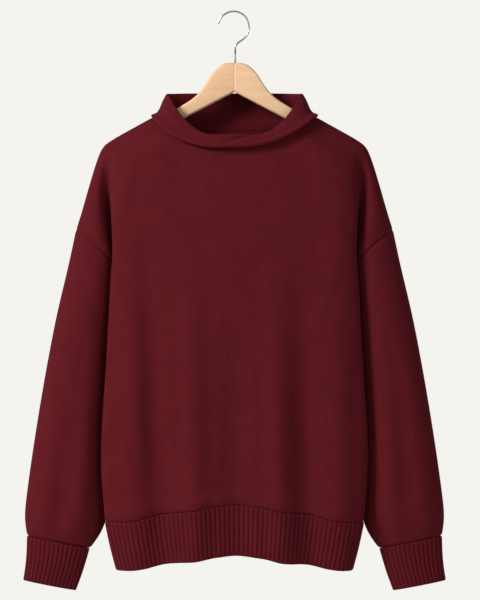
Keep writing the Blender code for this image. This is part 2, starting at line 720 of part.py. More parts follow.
def add_hanger_half(name, side, material, collection):
    """One half of the wooden hanger, cut square where the two are joined."""
    right = wood_outline()
    left = [(-x, z) for x, z in reversed(right[1:-1])]
    work = bmesh.new()
    corners = [work.verts.new((x * MM, -WOOD_THICKNESS / 2 * MM, z * MM)) for x, z in right + left]
    face = work.faces.new(corners)
    made = bmesh.ops.extrude_face_region(work, geom=[face])
    moved = [item for item in made["geom"] if isinstance(item, bmesh.types.BMVert)]
    bmesh.ops.translate(work, verts=moved, vec=(0.0, WOOD_THICKNESS * MM, 0.0))
    bmesh.ops.recalc_face_normals(work, faces=work.faces)
    rims = [edge for edge in work.edges if len(edge.link_faces) == 2
            and max(len(near.verts) for near in edge.link_faces) > 4]
    bmesh.ops.bevel(work, geom=rims, offset=WOOD_EDGE_ROUND * MM, segments=2, profile=0.5,
                    affect="EDGES", clamp_overlap=True)
    plane = (side * JOINT_GAP / 2 * MM, 0.0, 0.0)
    everything = work.verts[:] + work.edges[:] + work.faces[:]
    cut = bmesh.ops.bisect_plane(work, geom=everything, plane_co=plane, plane_no=(side, 0.0, 0.0),
                                 clear_inner=True)
    edges = [item for item in cut["geom_cut"] if isinstance(item, bmesh.types.BMEdge)]
    bmesh.ops.contextual_create(work, geom=edges)
    bmesh.ops.recalc_face_normals(work, faces=work.faces)
    mesh = bpy.data.meshes.new(name)
    work.to_mesh(mesh)
    work.free()
    mesh.materials.append(material)
    return add_mesh(name, mesh, collection)


def hook_path():
    """Centre line of the hook: an arc over the top, then a bend back to the stem."""
    centre_z = -(HOOK_RADIUS - WIRE / 2)
    angles = np.radians(np.linspace(HOOK_TIP_ANGLE, HOOK_LEAVE_ANGLE, HOOK_ARC_STEPS))
    arc = np.stack([
        HOOK_CENTRE_X + HOOK_RADIUS * np.cos(angles),
        centre_z + HOOK_RADIUS * np.sin(angles),
    ], axis=1)
    leave = arc[-1]
    heading = np.array([np.sin(angles[-1]), -np.cos(angles[-1])])
    stem = np.array([HOOK_STEM_X, HOOK_STEM_TOP_Z])
    reach = np.linalg.norm(stem - leave) * 0.5
    first = leave + reach * heading
    second = stem + np.array([0.0, reach * 0.8])
    shares = np.linspace(0.0, 1.0, HOOK_BEND_STEPS)[1:, None]
    bend = (
        (1 - shares) ** 3 * leave
        + 3 * (1 - shares) ** 2 * shares * first
        + 3 * (1 - shares) * shares**2 * second
        + shares**3 * stem
    )
    foot = np.array([[HOOK_STEM_X, HOOK_STEM_FOOT_Z]])
    return np.concatenate([arc, bend, foot])


def add_hook(material, collection):
    """The wire hook as a curve with a round section and closed ends."""
    path = hook_path()
    curve = bpy.data.curves.new("hanger_hook", "CURVE")
    curve.dimensions = "3D"
    curve.bevel_depth = WIRE / 2 * MM
    curve.bevel_resolution = 2
    curve.use_fill_caps = True
    line = curve.splines.new("POLY")
    line.points.add(len(path) - 1)
    for point, (x, z) in zip(line.points, path):
        point.co = (x * MM, 0.0, z * MM, 1.0)
    curve.materials.append(material)
    thing = bpy.data.objects.new("hanger_hook", curve)
    collection.objects.link(thing)
    return thing


def main():
    """Build every piece of the sweater and its hanger."""
    clear_scene()
    collection = bpy.data.collections.new(OBJECT_NAME)
    bpy.context.scene.collection.children.link(collection)
    knit = {name: finish_material(name + "_knit", KNIT)
            for name in ("front", "back", "sleeve_left", "sleeve_right", "collar")}
    rib = {name: finish_material(name + "_rib", RIB_KNIT)
           for name in ("hem_front", "hem_back", "cuff_left", "cuff_right")}
    add_panel("front", FRONT, knit["front"], collection)
    add_panel("back", BACK, knit["back"], collection)
    add_sleeve("sleeve_left", LEFT, knit["sleeve_left"], collection)
    add_sleeve("sleeve_right", RIGHT, knit["sleeve_right"], collection)
    add_cuff("cuff_left", LEFT, rib["cuff_left"], collection)
    add_cuff("cuff_right", RIGHT, rib["cuff_right"], collection)
    add_hem("hem_front", FRONT, rib["hem_front"], collection)
    add_hem("hem_back", BACK, rib["hem_back"], collection)
    add_collar(knit["collar"], collection)
    add_hanger_half("hanger_left", LEFT, finish_material("hanger_left_wood", WARM_WOOD), collection)
    add_hanger_half("hanger_right", RIGHT, finish_material("hanger_right_wood", PALE_WOOD), collection)
    add_hook(finish_material("hook_steel", STEEL), collection)


main()
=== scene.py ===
"""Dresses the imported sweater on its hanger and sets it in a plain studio.

Sizes and tables are in millimetres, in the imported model's frame: the origin is the inside top
of the hook, +Z is up and the front of the garment faces -Y. MM turns them into metres where
they become points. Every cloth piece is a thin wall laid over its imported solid, with the
folds, seams and ribs that the solid leaves out.
"""

import logging
import math
from dataclasses import dataclass
from enum import IntEnum
from typing import NamedTuple, Sequence, Union

import bpy
import numpy as np
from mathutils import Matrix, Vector

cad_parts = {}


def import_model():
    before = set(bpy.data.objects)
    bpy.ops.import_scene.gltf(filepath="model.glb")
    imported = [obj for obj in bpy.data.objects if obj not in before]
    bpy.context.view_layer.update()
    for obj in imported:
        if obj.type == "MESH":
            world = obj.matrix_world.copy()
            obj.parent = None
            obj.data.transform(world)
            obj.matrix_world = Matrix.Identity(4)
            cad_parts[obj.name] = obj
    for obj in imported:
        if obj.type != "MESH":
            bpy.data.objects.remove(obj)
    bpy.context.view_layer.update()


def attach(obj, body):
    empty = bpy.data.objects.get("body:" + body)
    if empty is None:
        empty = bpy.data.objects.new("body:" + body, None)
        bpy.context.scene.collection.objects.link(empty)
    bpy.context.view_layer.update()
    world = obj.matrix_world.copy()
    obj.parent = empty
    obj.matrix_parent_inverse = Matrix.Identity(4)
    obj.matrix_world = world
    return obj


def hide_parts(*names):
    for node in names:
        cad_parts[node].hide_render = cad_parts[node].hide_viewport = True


LOG = logging.getLogger("sweater")
Array = np.ndarray

MM = 0.001
BODY = "root"
HALF_GAP = 0.15
UPRIGHT = np.array([0.0, 0.0, 1.0])
FORWARD = np.array([0.0, 1.0, 0.0])
MIRROR = np.array([-1.0, 1.0, 1.0])
NO_TURN = (0.0, 0.0, 0.0)
SEAM_RIM = 0.2


class Facing(IntEnum):
    """Which half of the garment a piece is on, as the sign of its Y."""

    FRONT = -1
    BACK = 1


class Side(IntEnum):
    """Which side of the garment a piece is on, as the sign of its X."""

    LEFT = -1
    RIGHT = 1


class NeckEdge(NamedTuple):
    """How far a panel's neck edge stands from the middle, and how low it dips."""

    depth: float
    centre_z: float


class Across(NamedTuple):
    """A place on a row between its centre and the folded edge, as shares."""

    reach: float
    fall: float
    yoke_rise: float
    skirt_dip: float


class YokeRow(NamedTuple):
    """A row of the yoke: body, crease beside the body, and dropped shoulder."""

    front_z: float
    back_z: float
    front_depth: float
    back_depth: float
    edge_x: float
    edge_depth: float
    valley_x: float
    valley_z: float
    valley_depth: float
    shoulder_x: float
    shoulder_z: float
    drop_depth: float
    roundness: float


class SkirtRow(NamedTuple):
    """A row below the underarm, from its centre over the edge to the side seam."""

    centre_z: float
    dip: float
    front_depth: float
    back_depth: float
    edge_x: float
    edge_depth: float
    seam_x: float


class LongFold(NamedTuple):
    """A long soft fold of the body, with troughs below zero."""

    start_x: float
    end_x: float
    start_z: float
    full_z: float
    half_width: float
    height: float


class Crease(NamedTuple):
    """A short soft crease of the body between two places, with troughs below zero."""

    start_x: float
    start_z: float
    end_x: float
    end_z: float
    half_width: float
    height: float


class SleeveStation(NamedTuple):
    """A ring of a sleeve or cuff on the right side."""

    outer_x: float
    outer_z: float
    inner_x: float
    inner_z: float
    depth: float
    pinch: float


class SleeveFold(NamedTuple):
    """A soft fold of a sleeve: places and sizes are shares of its width and length."""

    across: float
    along: float
    half_width: float
    half_length: float
    height: float
    lean: float


class CollarRing(NamedTuple):
    """A ring of the collar; fullness squares it off and spread widens its dip."""

    half_width: float
    side_z: float
    front_y: float
    front_z: float
    back_y: float
    back_z: float
    fullness: float
    spread: float
    sway: float


class CollarCrease(NamedTuple):
    """A place on a crease of the collar: turn round it, ring number, depth and half width."""

    turn: float
    ring: float
    depth: float
    half_width: float


ACROSS = (
    Across(0.00, 0.00, 0.00, 0.00),
    Across(0.36, 0.08, 0.09, 0.29),
    Across(0.69, 0.31, 0.32, 0.78),
    Across(0.92, 0.60, 0.62, 0.98),
    Across(1.00, 1.00, 0.84, 1.00),
)
YOKE = (
    YokeRow(-213, -197, 41.0, 32.0, 130.0, 23.5, 142.0, -184.0, 18.0, 157.0, -176.0, 0.0, 0.0),
    YokeRow(-236, -223, 43.5, 35.0, 160.0, 23.5, 172.0, -202.0, 17.5, 188.0, -194.0, 0.0, 0.0),
    YokeRow(-262, -253, 46.0, 38.0, 177.0, 26.5, 187.0, -224.0, 16.0, 203.0, -213.0, 2.0, 0.1),
    YokeRow(-298, -292, 48.0, 41.0, 180.0, 30.0, 187.0, -268.0, 11.0, 216.5, -255.0, 12.0, 0.4),
    YokeRow(-338, -335, 49.5, 44.0, 181.0, 32.0, 181.0, -322.0, 7.0, 227.5, -293.0, 20.0, 0.8),
    YokeRow(-384, -384, 50.5, 46.0, 181.5, 32.0, 168.0, -382.0, 0.15, 237.5, -325.0, 25.0, 1.0),
)
SKIRT = (
    SkirtRow(-470.0, 6.0, 51.5, 47.0, 187.5, 32.0, 173.0),
    SkirtRow(-560.0, 12.0, 52.0, 47.0, 194.0, 31.0, 179.0),
    SkirtRow(-650.0, 18.0, 51.0, 46.0, 197.5, 29.0, 183.0),
    SkirtRow(-738.6, 24.4, 48.5, 43.5, 192.5, 26.0, 179.5),
)
HEM = (
    SKIRT[-1],
    SkirtRow(-777.0, 22.5, 47.5, 42.0, 185.0, 24.0, 172.5),
    SkirtRow(-813.5, 20.5, 46.5, 41.0, 176.0, 23.0, 164.0),
)
SLEEVE = (
    SleeveStation(237.5, -325.0, 168.0, -382.0, 25.0, 2.3),
    SleeveStation(249.0, -379.0, 172.3, -425.0, 26.5, 2.3),
    SleeveStation(261.5, -431.6, 177.0, -470.0, 28.0, 2.1),
    SleeveStation(273.7, -489.0, 182.0, -524.0, 28.5, 1.9),
    SleeveStation(289.3, -575.0, 187.0, -608.0, 29.0, 1.8),
    SleeveStation(303.0, -661.0, 188.8, -690.0, 28.0, 1.7),
    SleeveStation(311.0, -718.5, 190.0, -744.0, 26.5, 1.6),
    SleeveStation(314.3, -756.0, 199.5, -778.0, 23.0, 1.5),
    SleeveStation(311.0, -785.0, 217.0, -804.0, 16.5, 1.4),
)
CUFF = (
    SLEEVE[-1],
    SleeveStation(312.5, -820.0, 226.5, -836.0, 14.5, 1.3),
    SleeveStation(316.6, -850.5, 237.4, -866.0, 13.5, 1.3),
)
COLLAR = (
    CollarRing(124.2, -156.4, 39.2, -189.5, 29.2, -172.0, 1.00, 1.10, 0.0),
    CollarRing(124.6, -156.1, 43.0, -197.0, 29.6, -170.5, 0.90, 1.08, 1.5),
    CollarRing(125.0, -155.6, 48.0, -204.3, 30.2, -168.0, 0.80, 1.05, 3.0),
    CollarRing(124.0, -153.0, 51.5, -200.0, 30.4, -163.0, 0.80, 1.05, 3.0),
    CollarRing(116.0, -149.0, 49.0, -195.0, 30.0, -152.0, 0.85, 1.10, 2.0),
    CollarRing(109.5, -136.0, 46.5, -189.0, 28.8, -137.0, 0.92, 1.20, 1.0),
    CollarRing(103.6, -124.5, 44.0, -186.0, 27.2, -123.0, 1.00, 1.25, 0.0),
    CollarRing(101.2, -122.3, 42.0, -184.7, 25.2, -121.2, 1.00, 1.25, 0.0),
    CollarRing(99.0, -124.0, 40.0, -186.2, 23.2, -122.8, 1.00, 1.25, 0.0),
    CollarRing(106.0, -140.0, 36.6, -187.6, 24.4, -146.0, 1.00, 1.20, 0.0),
    CollarRing(119.6, -156.4, 34.8, -189.3, 24.8, -171.8, 1.00, 1.10, 0.0),
)


def natural_spline(knots: Array, values: Array, at: Array) -> Array:
    """Natural cubic curve through values, one row for each knot.

    Args:
        knots: Rising places of the values.
        values: Array whose first axis runs over the knots.
        at: Places to read.

    Returns:
        The values at those places.
    """
    knots = np.asarray(knots, float)
    values = np.asarray(values, float)
    at = np.asarray(at, float)
    count = len(knots)
    flat = values.reshape(count, -1)
    steps = np.diff(knots)
    slopes = np.diff(flat, axis=0) / steps[:, None]
    system = np.eye(count)
    right = np.zeros_like(flat)
    for k in range(1, count - 1):
        system[k, k - 1:k + 2] = steps[k - 1], 2 * (steps[k - 1] + steps[k]), steps[k]
        right[k] = 6 * (slopes[k] - slopes[k - 1])
    bend = np.linalg.solve(system, right)
    piece = np.clip(np.searchsorted(knots, at, side="right") - 1, 0, count - 2)
    step = steps[piece][:, None]
    before = (at - knots[piece])[:, None]
    after = (knots[piece + 1] - at)[:, None]
    found = (
        bend[piece] * after**3 / (6 * step)
        + bend[piece + 1] * before**3 / (6 * step)
        + (flat[piece] / step - bend[piece] * step / 6) * after
        + (flat[piece + 1] / step - bend[piece + 1] * step / 6) * before
    )
    return found.reshape((len(at),) + values.shape[1:])


def lengths_along(points: Array) -> Array:
    """Distance along a line of points, starting at 0."""
    steps = np.linalg.norm(np.diff(points, axis=0), axis=1)
    return np.concatenate([[0.0], np.cumsum(steps)])


def read_along(points: Array, shares: Array) -> Array:
    """Points at the given shares of a line's length."""
    along = lengths_along(points)
    places = np.asarray(shares) * along[-1]
    return np.stack([np.interp(places, along, points[:, k]) for k in range(3)], axis=1)


def smoothstep(share: Array) -> Array:
    """0 to 1 with level ends."""
    share = np.clip(share, 0.0, 1.0)
    return share * share * (3 - 2 * share)


def bell(share: Array) -> Array:
    """1 at 0, falling smoothly to 0 at 1 and beyond on either side."""
    return 0.5 + 0.5 * np.cos(np.pi * np.clip(np.abs(share), 0.0, 1.0))


def unit(vectors: Array) -> Array:
    """The vectors with a length of 1."""
    return vectors / np.maximum(np.linalg.norm(vectors, axis=-1, keepdims=True), 1e-12)


def without_share(normals: Array, direction: Array) -> Array:
    """The normals with their share along a direction taken out."""
    along = unit(np.asarray(direction, float))
    return unit(normals - (normals @ along)[..., None] * along)


def sleeve_axis(station: SleeveStation) -> Array:
    """Unit direction down the sleeve, square to a ring, on the right side."""
    rise = station.outer_z - station.inner_z
    reach = station.outer_x - station.inner_x
    return unit(np.array([rise, 0.0, -reach]))


def pinch_power(angle: Array, pinch: Union[float, Array]) -> Array:
    """Power of the sine that gives a ring's depth: pinched inner half, round outer one."""
    return np.where(angle < np.pi / 2, pinch, 1.0)


@dataclass
class Weave:
    """A grid of cloth in millimetres, where absent points are not-a-number.

    The flat coordinates are metres on the cut cloth. A closed grid joins its last column to
    its first, and its flat coordinates then have one column more.
    """

    points: Array
    flat: Array
    closed: bool = False

    def quads(self) -> tuple[Array, Array]:
        """Corners of each face.

        Returns:
            Point numbers and flat numbers, four a face, of the faces that have all corners.
        """
        rows, columns = self.points.shape[:2]
        flat_columns = self.flat.shape[1]
        row = np.arange(rows - 1)[:, None]
        column = np.arange(columns if self.closed else columns - 1)[None, :]
        after = (column + 1) % columns
        corners = np.stack(
            [
                row * columns + column,
                row * columns + after,
                (row + 1) * columns + after,
                (row + 1) * columns + column,
            ],
            axis=-1,
        ).reshape(-1, 4)
        flats = np.stack(
            [
                row * flat_columns + column,
                row * flat_columns + column + 1,
                (row + 1) * flat_columns + column + 1,
                (row + 1) * flat_columns + column,
            ],
            axis=-1,
        ).reshape(-1, 4)
        there = ~np.isnan(self.points[..., 0]).ravel()
        whole = there[corners].all(axis=1)
        return corners[whole], flats[whole]

    def normals(self) -> Array:
        """A unit normal at each point, pointing to one same side."""
        corners, _ = self.quads()
        points = self.points.reshape(-1, 3)
        a, b, c, d = (points[corners[:, k]] for k in range(4))
        face = np.cross(c - a, d - b)
        total = np.zeros_like(points)
        for k in range(4):
            np.add.at(total, corners[:, k], face)
        return unit(total).reshape(self.points.shape)


class Cloth:
    """Turns a weave into a wall of cloth with two faces and rounded edges."""

    RELIEF = "relief"
    FLAT = "flat"

    def __init__(self, name: str, outer: Weave, inner: Array, rim: Array) -> None:
        """Keep the parts of the wall.

        Args:
            name: Name of the piece.
            outer: The outer face.
            inner: Points of the inner face, matched to the outer ones.
            rim: How far the edge is rounded out at each point.
        """
        self.name = name
        self.outer = outer
        self.inner = inner
        self.rim = rim

    def build(self, relief: Array, material: bpy.types.Material) -> bpy.types.Object:
        """Make the wall's object.

        Args:
            relief: 0 in a groove to 1 on a ridge at each point; a rib material paints shade into
                the grooves from it.
            material: The finish.

        Returns:
            The new object.
        """
        corners, flats = self.outer.quads()
        points = self.outer.points.reshape(-1, 3)
        inner = self.inner.reshape(-1, 3)
        shade = relief.reshape(-1)
        used = np.unique(corners)
        number = np.full(len(points), -1)
        number[used] = np.arange(len(used))
        corners = number[corners]
        points, inner, shade = points[used], inner[used], shade[used]
        rim = np.broadcast_to(self.rim, self.outer.points.shape[:2]).reshape(-1)[used]
        count = len(points)

        edges, edge_flats = self._border(corners, flats, count)
        outward = self._outward(points, corners, edges)
        border = np.unique(edges)
        middle = np.full(count, -1)
        middle[border] = 2 * count + np.arange(len(border))
        edge_points = (points[border] + inner[border]) / 2 + outward[border] * rim[border, None]
        start, end = edges[:, 0], edges[:, 1]
        faces = np.concatenate(
            [
                corners,
                corners[:, ::-1] + count,
                np.stack([end, start, middle[start], middle[end]], axis=1),
                np.stack([middle[end], middle[start], start + count, end + count], axis=1),
            ]
        )
        rim_flats = edge_flats[:, [1, 0, 0, 1]]
        face_flats = np.concatenate([flats, flats[:, ::-1], rim_flats, rim_flats])
        everything = np.concatenate([points, inner, edge_points]) * MM
        shades = np.concatenate([shade, shade, shade[border]])
        made = mesh_object(self.name, everything, faces, material)
        self._dress(made.data, face_flats, shades)
        return made

    @staticmethod
    def _border(corners: Array, flats: Array, count: int) -> tuple[Array, Array]:
        """Edges that have a face on one side only, with their flat numbers."""
        edges = np.concatenate([corners[:, [k, (k + 1) % 4]] for k in range(4)])
        edge_flats = np.concatenate([flats[:, [k, (k + 1) % 4]] for k in range(4)])
        keys = edges[:, 0] * count + edges[:, 1]
        turned = edges[:, 1] * count + edges[:, 0]
        alone = ~np.isin(turned, keys)
        return edges[alone], edge_flats[alone]

    @staticmethod
    def _outward(points: Array, corners: Array, edges: Array) -> Array:
        """Unit direction out of the cloth at each edge point, in its own surface."""
        centre = np.zeros_like(points)
        share = np.zeros(len(points))
        for k in range(4):
            np.add.at(centre, corners[:, k], points[corners].mean(axis=1))
            np.add.at(share, corners[:, k], 1.0)
        away = points - centre / np.maximum(share, 1.0)[:, None]
        along = np.zeros_like(points)
        step = points[edges[:, 1]] - points[edges[:, 0]]
        np.add.at(along, edges[:, 0], step)
        np.add.at(along, edges[:, 1], step)
        along = unit(along)
        return unit(away - (away * along).sum(axis=1, keepdims=True) * along)

    def _dress(self, mesh: bpy.types.Mesh, face_flats: Array, shades: Array) -> None:
        """Give the mesh its flat coordinates and its relief."""
        flat = self.outer.flat.reshape(-1, 2)
        layer = mesh.uv_layers.new(name=self.FLAT)
        layer.data.foreach_set("uv", flat[face_flats.ravel()].astype(np.float32).ravel())
        relief = mesh.attributes.new(self.RELIEF, "FLOAT", "POINT")
        relief.data.foreach_set("value", shades.astype(np.float32))


def mesh_object(
    name: str, points: Array, faces: Array, material: bpy.types.Material
) -> bpy.types.Object:
    """A smooth mesh object in the scene.

    Args:
        name: Name of the object.
        points: Points in metres.
        faces: Point numbers of each face.
        material: The finish.

    Returns:
        The new object.
    """
    mesh = bpy.data.meshes.new(name)
    mesh.from_pydata(points.tolist(), [], np.asarray(faces).tolist())
    mesh.materials.append(material)
    mesh.shade_smooth()
    made = bpy.data.objects.new(name, mesh)
    bpy.context.scene.collection.objects.link(made)
    return made


class Signal:
    """A shader socket with arithmetic, so that shader maths reads as expressions."""

    def __init__(self, graph: "Graph", socket: bpy.types.NodeSocket) -> None:
        """Wrap one output socket of a graph."""
        self.graph = graph
        self.socket = socket

    def __add__(self, other: "Number") -> "Signal":
        """This plus another."""
        return self.graph.maths("ADD", self, other)

    def __radd__(self, other: "Number") -> "Signal":
        """A number plus this."""
        return self.graph.maths("ADD", other, self)

    def __sub__(self, other: "Number") -> "Signal":
        """This less another."""
        return self.graph.maths("SUBTRACT", self, other)

    def __rsub__(self, other: "Number") -> "Signal":
        """A number less this."""
        return self.graph.maths("SUBTRACT", other, self)

    def __mul__(self, other: "Number") -> "Signal":
        """This times another."""
        return self.graph.maths("MULTIPLY", self, other)

    def __rmul__(self, other: "Number") -> "Signal":
        """A number times this."""
        return self.graph.maths("MULTIPLY", other, self)

    def __pow__(self, other: "Number") -> "Signal":
        """This to a power."""
        return self.graph.maths("POWER", self, other)

    def __abs__(self) -> "Signal":
        """This without its sign."""
        return self.graph.maths("ABSOLUTE", self)

    def fraction(self) -> "Signal":
        """What is left of this after its whole part."""
        return self.graph.maths("FRACT", self)


Number = Union[float, Signal]
Colour = Union[Signal, Sequence[float]]


class Graph:
    """The node tree of one material."""

    def __init__(self, name: str) -> None:
        """Start a material with one Principled shader."""
        self.material = bpy.data.materials.new(name)
        self.material.use_nodes = True
        self.tree = self.material.node_tree
        self.shader = self.tree.nodes["Principled BSDF"]

    def node(
        self,
        kind: str,
        settings: dict[str, str],
        inputs: dict[Union[str, int], Union[Number, Sequence[float]]],
        output: Union[str, int] = 0,
    ) -> Signal:
        """Add one node.

        Args:
            kind: Its type, such as ShaderNodeMath.
            settings: Its properties, which are set first.
            inputs: Values or links of its sockets.
            output: The output to give back.

        Returns:
            That output.
        """
        made = self.tree.nodes.new(kind)
        for name, value in settings.items():
            setattr(made, name, value)
        for name, value in inputs.items():
            self._feed(made.inputs[name], value)
        return Signal(self, made.outputs[output])

    def _feed(
        self, socket: bpy.types.NodeSocket, value: Union[Number, Sequence[float]]
    ) -> None:
        """Link a socket to a signal, or set its value."""
        if isinstance(value, Signal):
            self.tree.links.new(value.socket, socket)
        elif socket.type == "RGBA":
            socket.default_value = (*value, 1.0)
        else:
            socket.default_value = value

    def maths(self, operation: str, *values: Number) -> Signal:
        """One Math node on numbers."""
        return self.node("ShaderNodeMath", {"operation": operation}, dict(enumerate(values)))

    def clamped(self, value: Signal) -> Signal:
        """A number kept from 0 to 1."""
        return self.node("ShaderNodeClamp", {}, {"Value": value})

    def mix(self, factor: Number, first: Colour, second: Colour) -> Signal:
        """One colour fading into another."""
        settings = {"data_type": "RGBA", "blend_type": "MIX"}
        return self.node("ShaderNodeMix", settings, {0: factor, 6: first, 7: second}, 2)

    def noise(self, where: Signal, scale: float, detail: float, roughness: float = 0.5) -> Signal:
        """Soft noise from 0 to 1."""
        inputs = {"Vector": where, "Scale": scale, "Detail": detail, "Roughness": roughness}
        return self.node("ShaderNodeTexNoise", {}, inputs, 0)

    def stretched(
        self, where: Signal, scale: Sequence[float], turn: Sequence[float] = NO_TURN
    ) -> Signal:
        """Coordinates turned and scaled, each axis by its own amount."""
        inputs = {"Vector": where, "Scale": scale, "Rotation": turn}
        return self.node("ShaderNodeMapping", {"vector_type": "POINT"}, inputs)

    def flat(self) -> Signal:
        """Metres on the cut cloth."""
        return self.node("ShaderNodeUVMap", {"uv_map": Cloth.FLAT}, {})

    def place(self) -> Signal:
        """Place in the object's own frame."""
        return self.node("ShaderNodeTexCoord", {}, {}, "Object")

    def attribute(self, name: str) -> Signal:
        """A number stored on the mesh's points."""
        settings = {"attribute_type": "GEOMETRY", "attribute_name": name}
        return self.node("ShaderNodeAttribute", settings, {}, "Fac")

    def bump(self, height: Signal, distance: float, strength: float) -> Signal:
        """A normal tilted by a height map."""
        inputs = {"Height": height, "Distance": distance, "Strength": strength}
        return self.node("ShaderNodeBump", {}, inputs)

    def finish(self, **inputs: Union[Number, Sequence[float]]) -> bpy.types.Material:
        """Feed the Principled shader, with spaces in socket names as underscores."""
        for name, value in inputs.items():
            self._feed(self.shader.inputs[name.replace("_", " ")], value)
        return self.material


@dataclass(frozen=True)
class Knit:
    """Fine brushed knit in one colour."""

    name: str
    light: tuple[float, float, float]
    dark: tuple[float, float, float]
    wale: float = 2.1 * MM
    course: float = 1.6 * MM
    leg_slope: float = 0.55
    # Painted shade: how much darker the base colour is between the stitch legs.
    painted_stitch_shade: float = 0.30
    mottle: float = 0.65
    # Painted shade: how much darker the base colour is in the rib grooves.
    painted_groove_shade: float = 0.0
    stitch_height: float = 0.30 * MM
    stitch_strength: float = 0.55
    sheen: float = 0.12
    sheen_roughness: float = 0.35
    sheen_tint: tuple[float, float, float] = (1.0, 0.22, 0.28)
    specular: float = 0.08
    arch: float = 0.8
    middle: float = 0.5
    stitch_middle: float = 0.45
    fuzz_scale: float = 1400.0
    fuzz_shade: float = 0.35
    fuzz_height: float = 0.6
    mottle_height: float = 0.8
    wale_streaks: tuple[float, float, float] = (260.0, 16.0, 1.0)
    course_streaks: tuple[float, float, float] = (14.0, 300.0, 1.0)
    cloud_scale: float = 34.0
    mottle_shares: tuple[float, float, float] = (0.34, 0.26, 0.40)
    smoothest: float = 0.78
    fuzz_roughness: float = 0.18

    def _stitches(self, graph: Graph) -> Signal:
        """Height of the knit's stitches: pairs of slanting legs in columns.

        Args:
            graph: The material's nodes.

        Returns:
            A number from 0 between stitches to 1 on a leg.
        """
        flat = graph.flat()
        across = graph.node("ShaderNodeSeparateXYZ", {}, {0: flat}, "X")
        down = graph.node("ShaderNodeSeparateXYZ", {}, {0: flat}, "Y")
        from_middle = abs((across * (1 / self.wale)).fraction() * 2.0 - 1.0)
        step = (down * (1 / self.course) + from_middle * self.leg_slope).fraction()
        leg = 1.0 - (step * 2.0 - 1.0) ** 2.0
        arch = 1.0 - (from_middle * 2.0 - 1.0) ** 2.0
        return leg * (arch * self.arch + (1 - self.arch))

    def _mottling(self, graph: Graph) -> Signal:
        """Slow unevenness of yarn and stitches, from about 0 to 1."""
        flat = graph.flat()
        wales = graph.noise(graph.stretched(flat, self.wale_streaks), 1.0, 2.0)
        courses = graph.noise(graph.stretched(flat, self.course_streaks), 1.0, 2.0)
        clouds = graph.noise(graph.place(), self.cloud_scale, 3.0, 0.6)
        wale_share, course_share, cloud_share = self.mottle_shares
        return wales * wale_share + courses * course_share + clouds * cloud_share

    def material(self) -> bpy.types.Material:
        """Make the finish."""
        graph = Graph(self.name)
        stitches = self._stitches(graph)
        mottling = self._mottling(graph)
        fuzz = graph.noise(graph.place(), self.fuzz_scale, 3.0, 0.7)
        tone = self.middle + (mottling - self.middle) * self.mottle * 2.0
        # Painted shade: the base colour is darker between the stitch legs and lighter on them.
        tone = tone + (stitches - self.stitch_middle) * self.painted_stitch_shade
        tone = tone + (fuzz - self.middle) * self.fuzz_shade
        # Painted shade: the base colour is darker in the rib grooves, read from the mesh's relief
        # attribute.
        if self.painted_groove_shade:
            relief = graph.attribute(Cloth.RELIEF)
            tone = tone + (relief - 1.0) * self.painted_groove_shade
        colour = graph.mix(graph.clamped(tone), self.dark, self.light)
        height = stitches + fuzz * self.fuzz_height + mottling * self.mottle_height
        return graph.finish(
            Base_Color=colour,
            Roughness=self.smoothest + fuzz * self.fuzz_roughness,
            Normal=graph.bump(height, self.stitch_height, self.stitch_strength),
            Specular_IOR_Level=self.specular,
            Sheen_Weight=self.sheen,
            Sheen_Roughness=self.sheen_roughness,
            Sheen_Tint=self.sheen_tint,
        )


@dataclass(frozen=True)
class Wood:
    """Pale beech under a thin satin lacquer, with its grain along one arm."""

    name: str
    light: tuple[float, float, float]
    dark: tuple[float, float, float]
    turn: float
    band_scale: tuple[float, float, float] = (9.0, 60.0, 120.0)
    line_scale: tuple[float, float, float] = (30.0, 500.0, 900.0)
    pore_scale: tuple[float, float, float] = (260.0, 1500.0, 2600.0)
    band_shade: float = 1.8
    line_shade: float = 0.9
    middle: float = 0.5
    pore_start: float = 0.63
    pore_edge: float = 9.0
    pore_darkness: float = 0.62
    pore_shade: float = 0.45
    line_height: float = 0.5
    pore_depth: float = 0.6
    relief: float = 0.25 * MM
    relief_strength: float = 0.35
    smoothest: float = 0.42
    line_roughness: float = 0.16
    lacquer: float = 0.25
    lacquer_roughness: float = 0.25

    def material(self) -> bpy.types.Material:
        """Make the finish."""
        graph = Graph(self.name)
        place = graph.place()
        tilt = (0.0, self.turn, 0.0)
        bands = graph.noise(graph.stretched(place, self.band_scale, tilt), 1.0, 4.0, 0.55)
        lines = graph.noise(graph.stretched(place, self.line_scale, tilt), 1.0, 3.0, 0.6)
        pores = graph.noise(graph.stretched(place, self.pore_scale, tilt), 1.0, 1.0)
        pore_marks = graph.clamped((pores - self.pore_start) * self.pore_edge)
        tone = (bands - self.middle) * self.band_shade + (lines - self.middle) * self.line_shade
        colour = graph.mix(graph.clamped(tone + self.middle), self.dark, self.light)
        fleck = tuple(self.pore_darkness * share for share in self.dark)
        colour = graph.mix(pore_marks * self.pore_shade, colour, fleck)
        height = lines * self.line_height - pore_marks * self.pore_depth
        return graph.finish(
            Base_Color=colour,
            Roughness=self.smoothest + lines * self.line_roughness,
            Normal=graph.bump(height, self.relief, self.relief_strength),
            Coat_Weight=self.lacquer,
            Coat_Roughness=self.lacquer_roughness,
        )


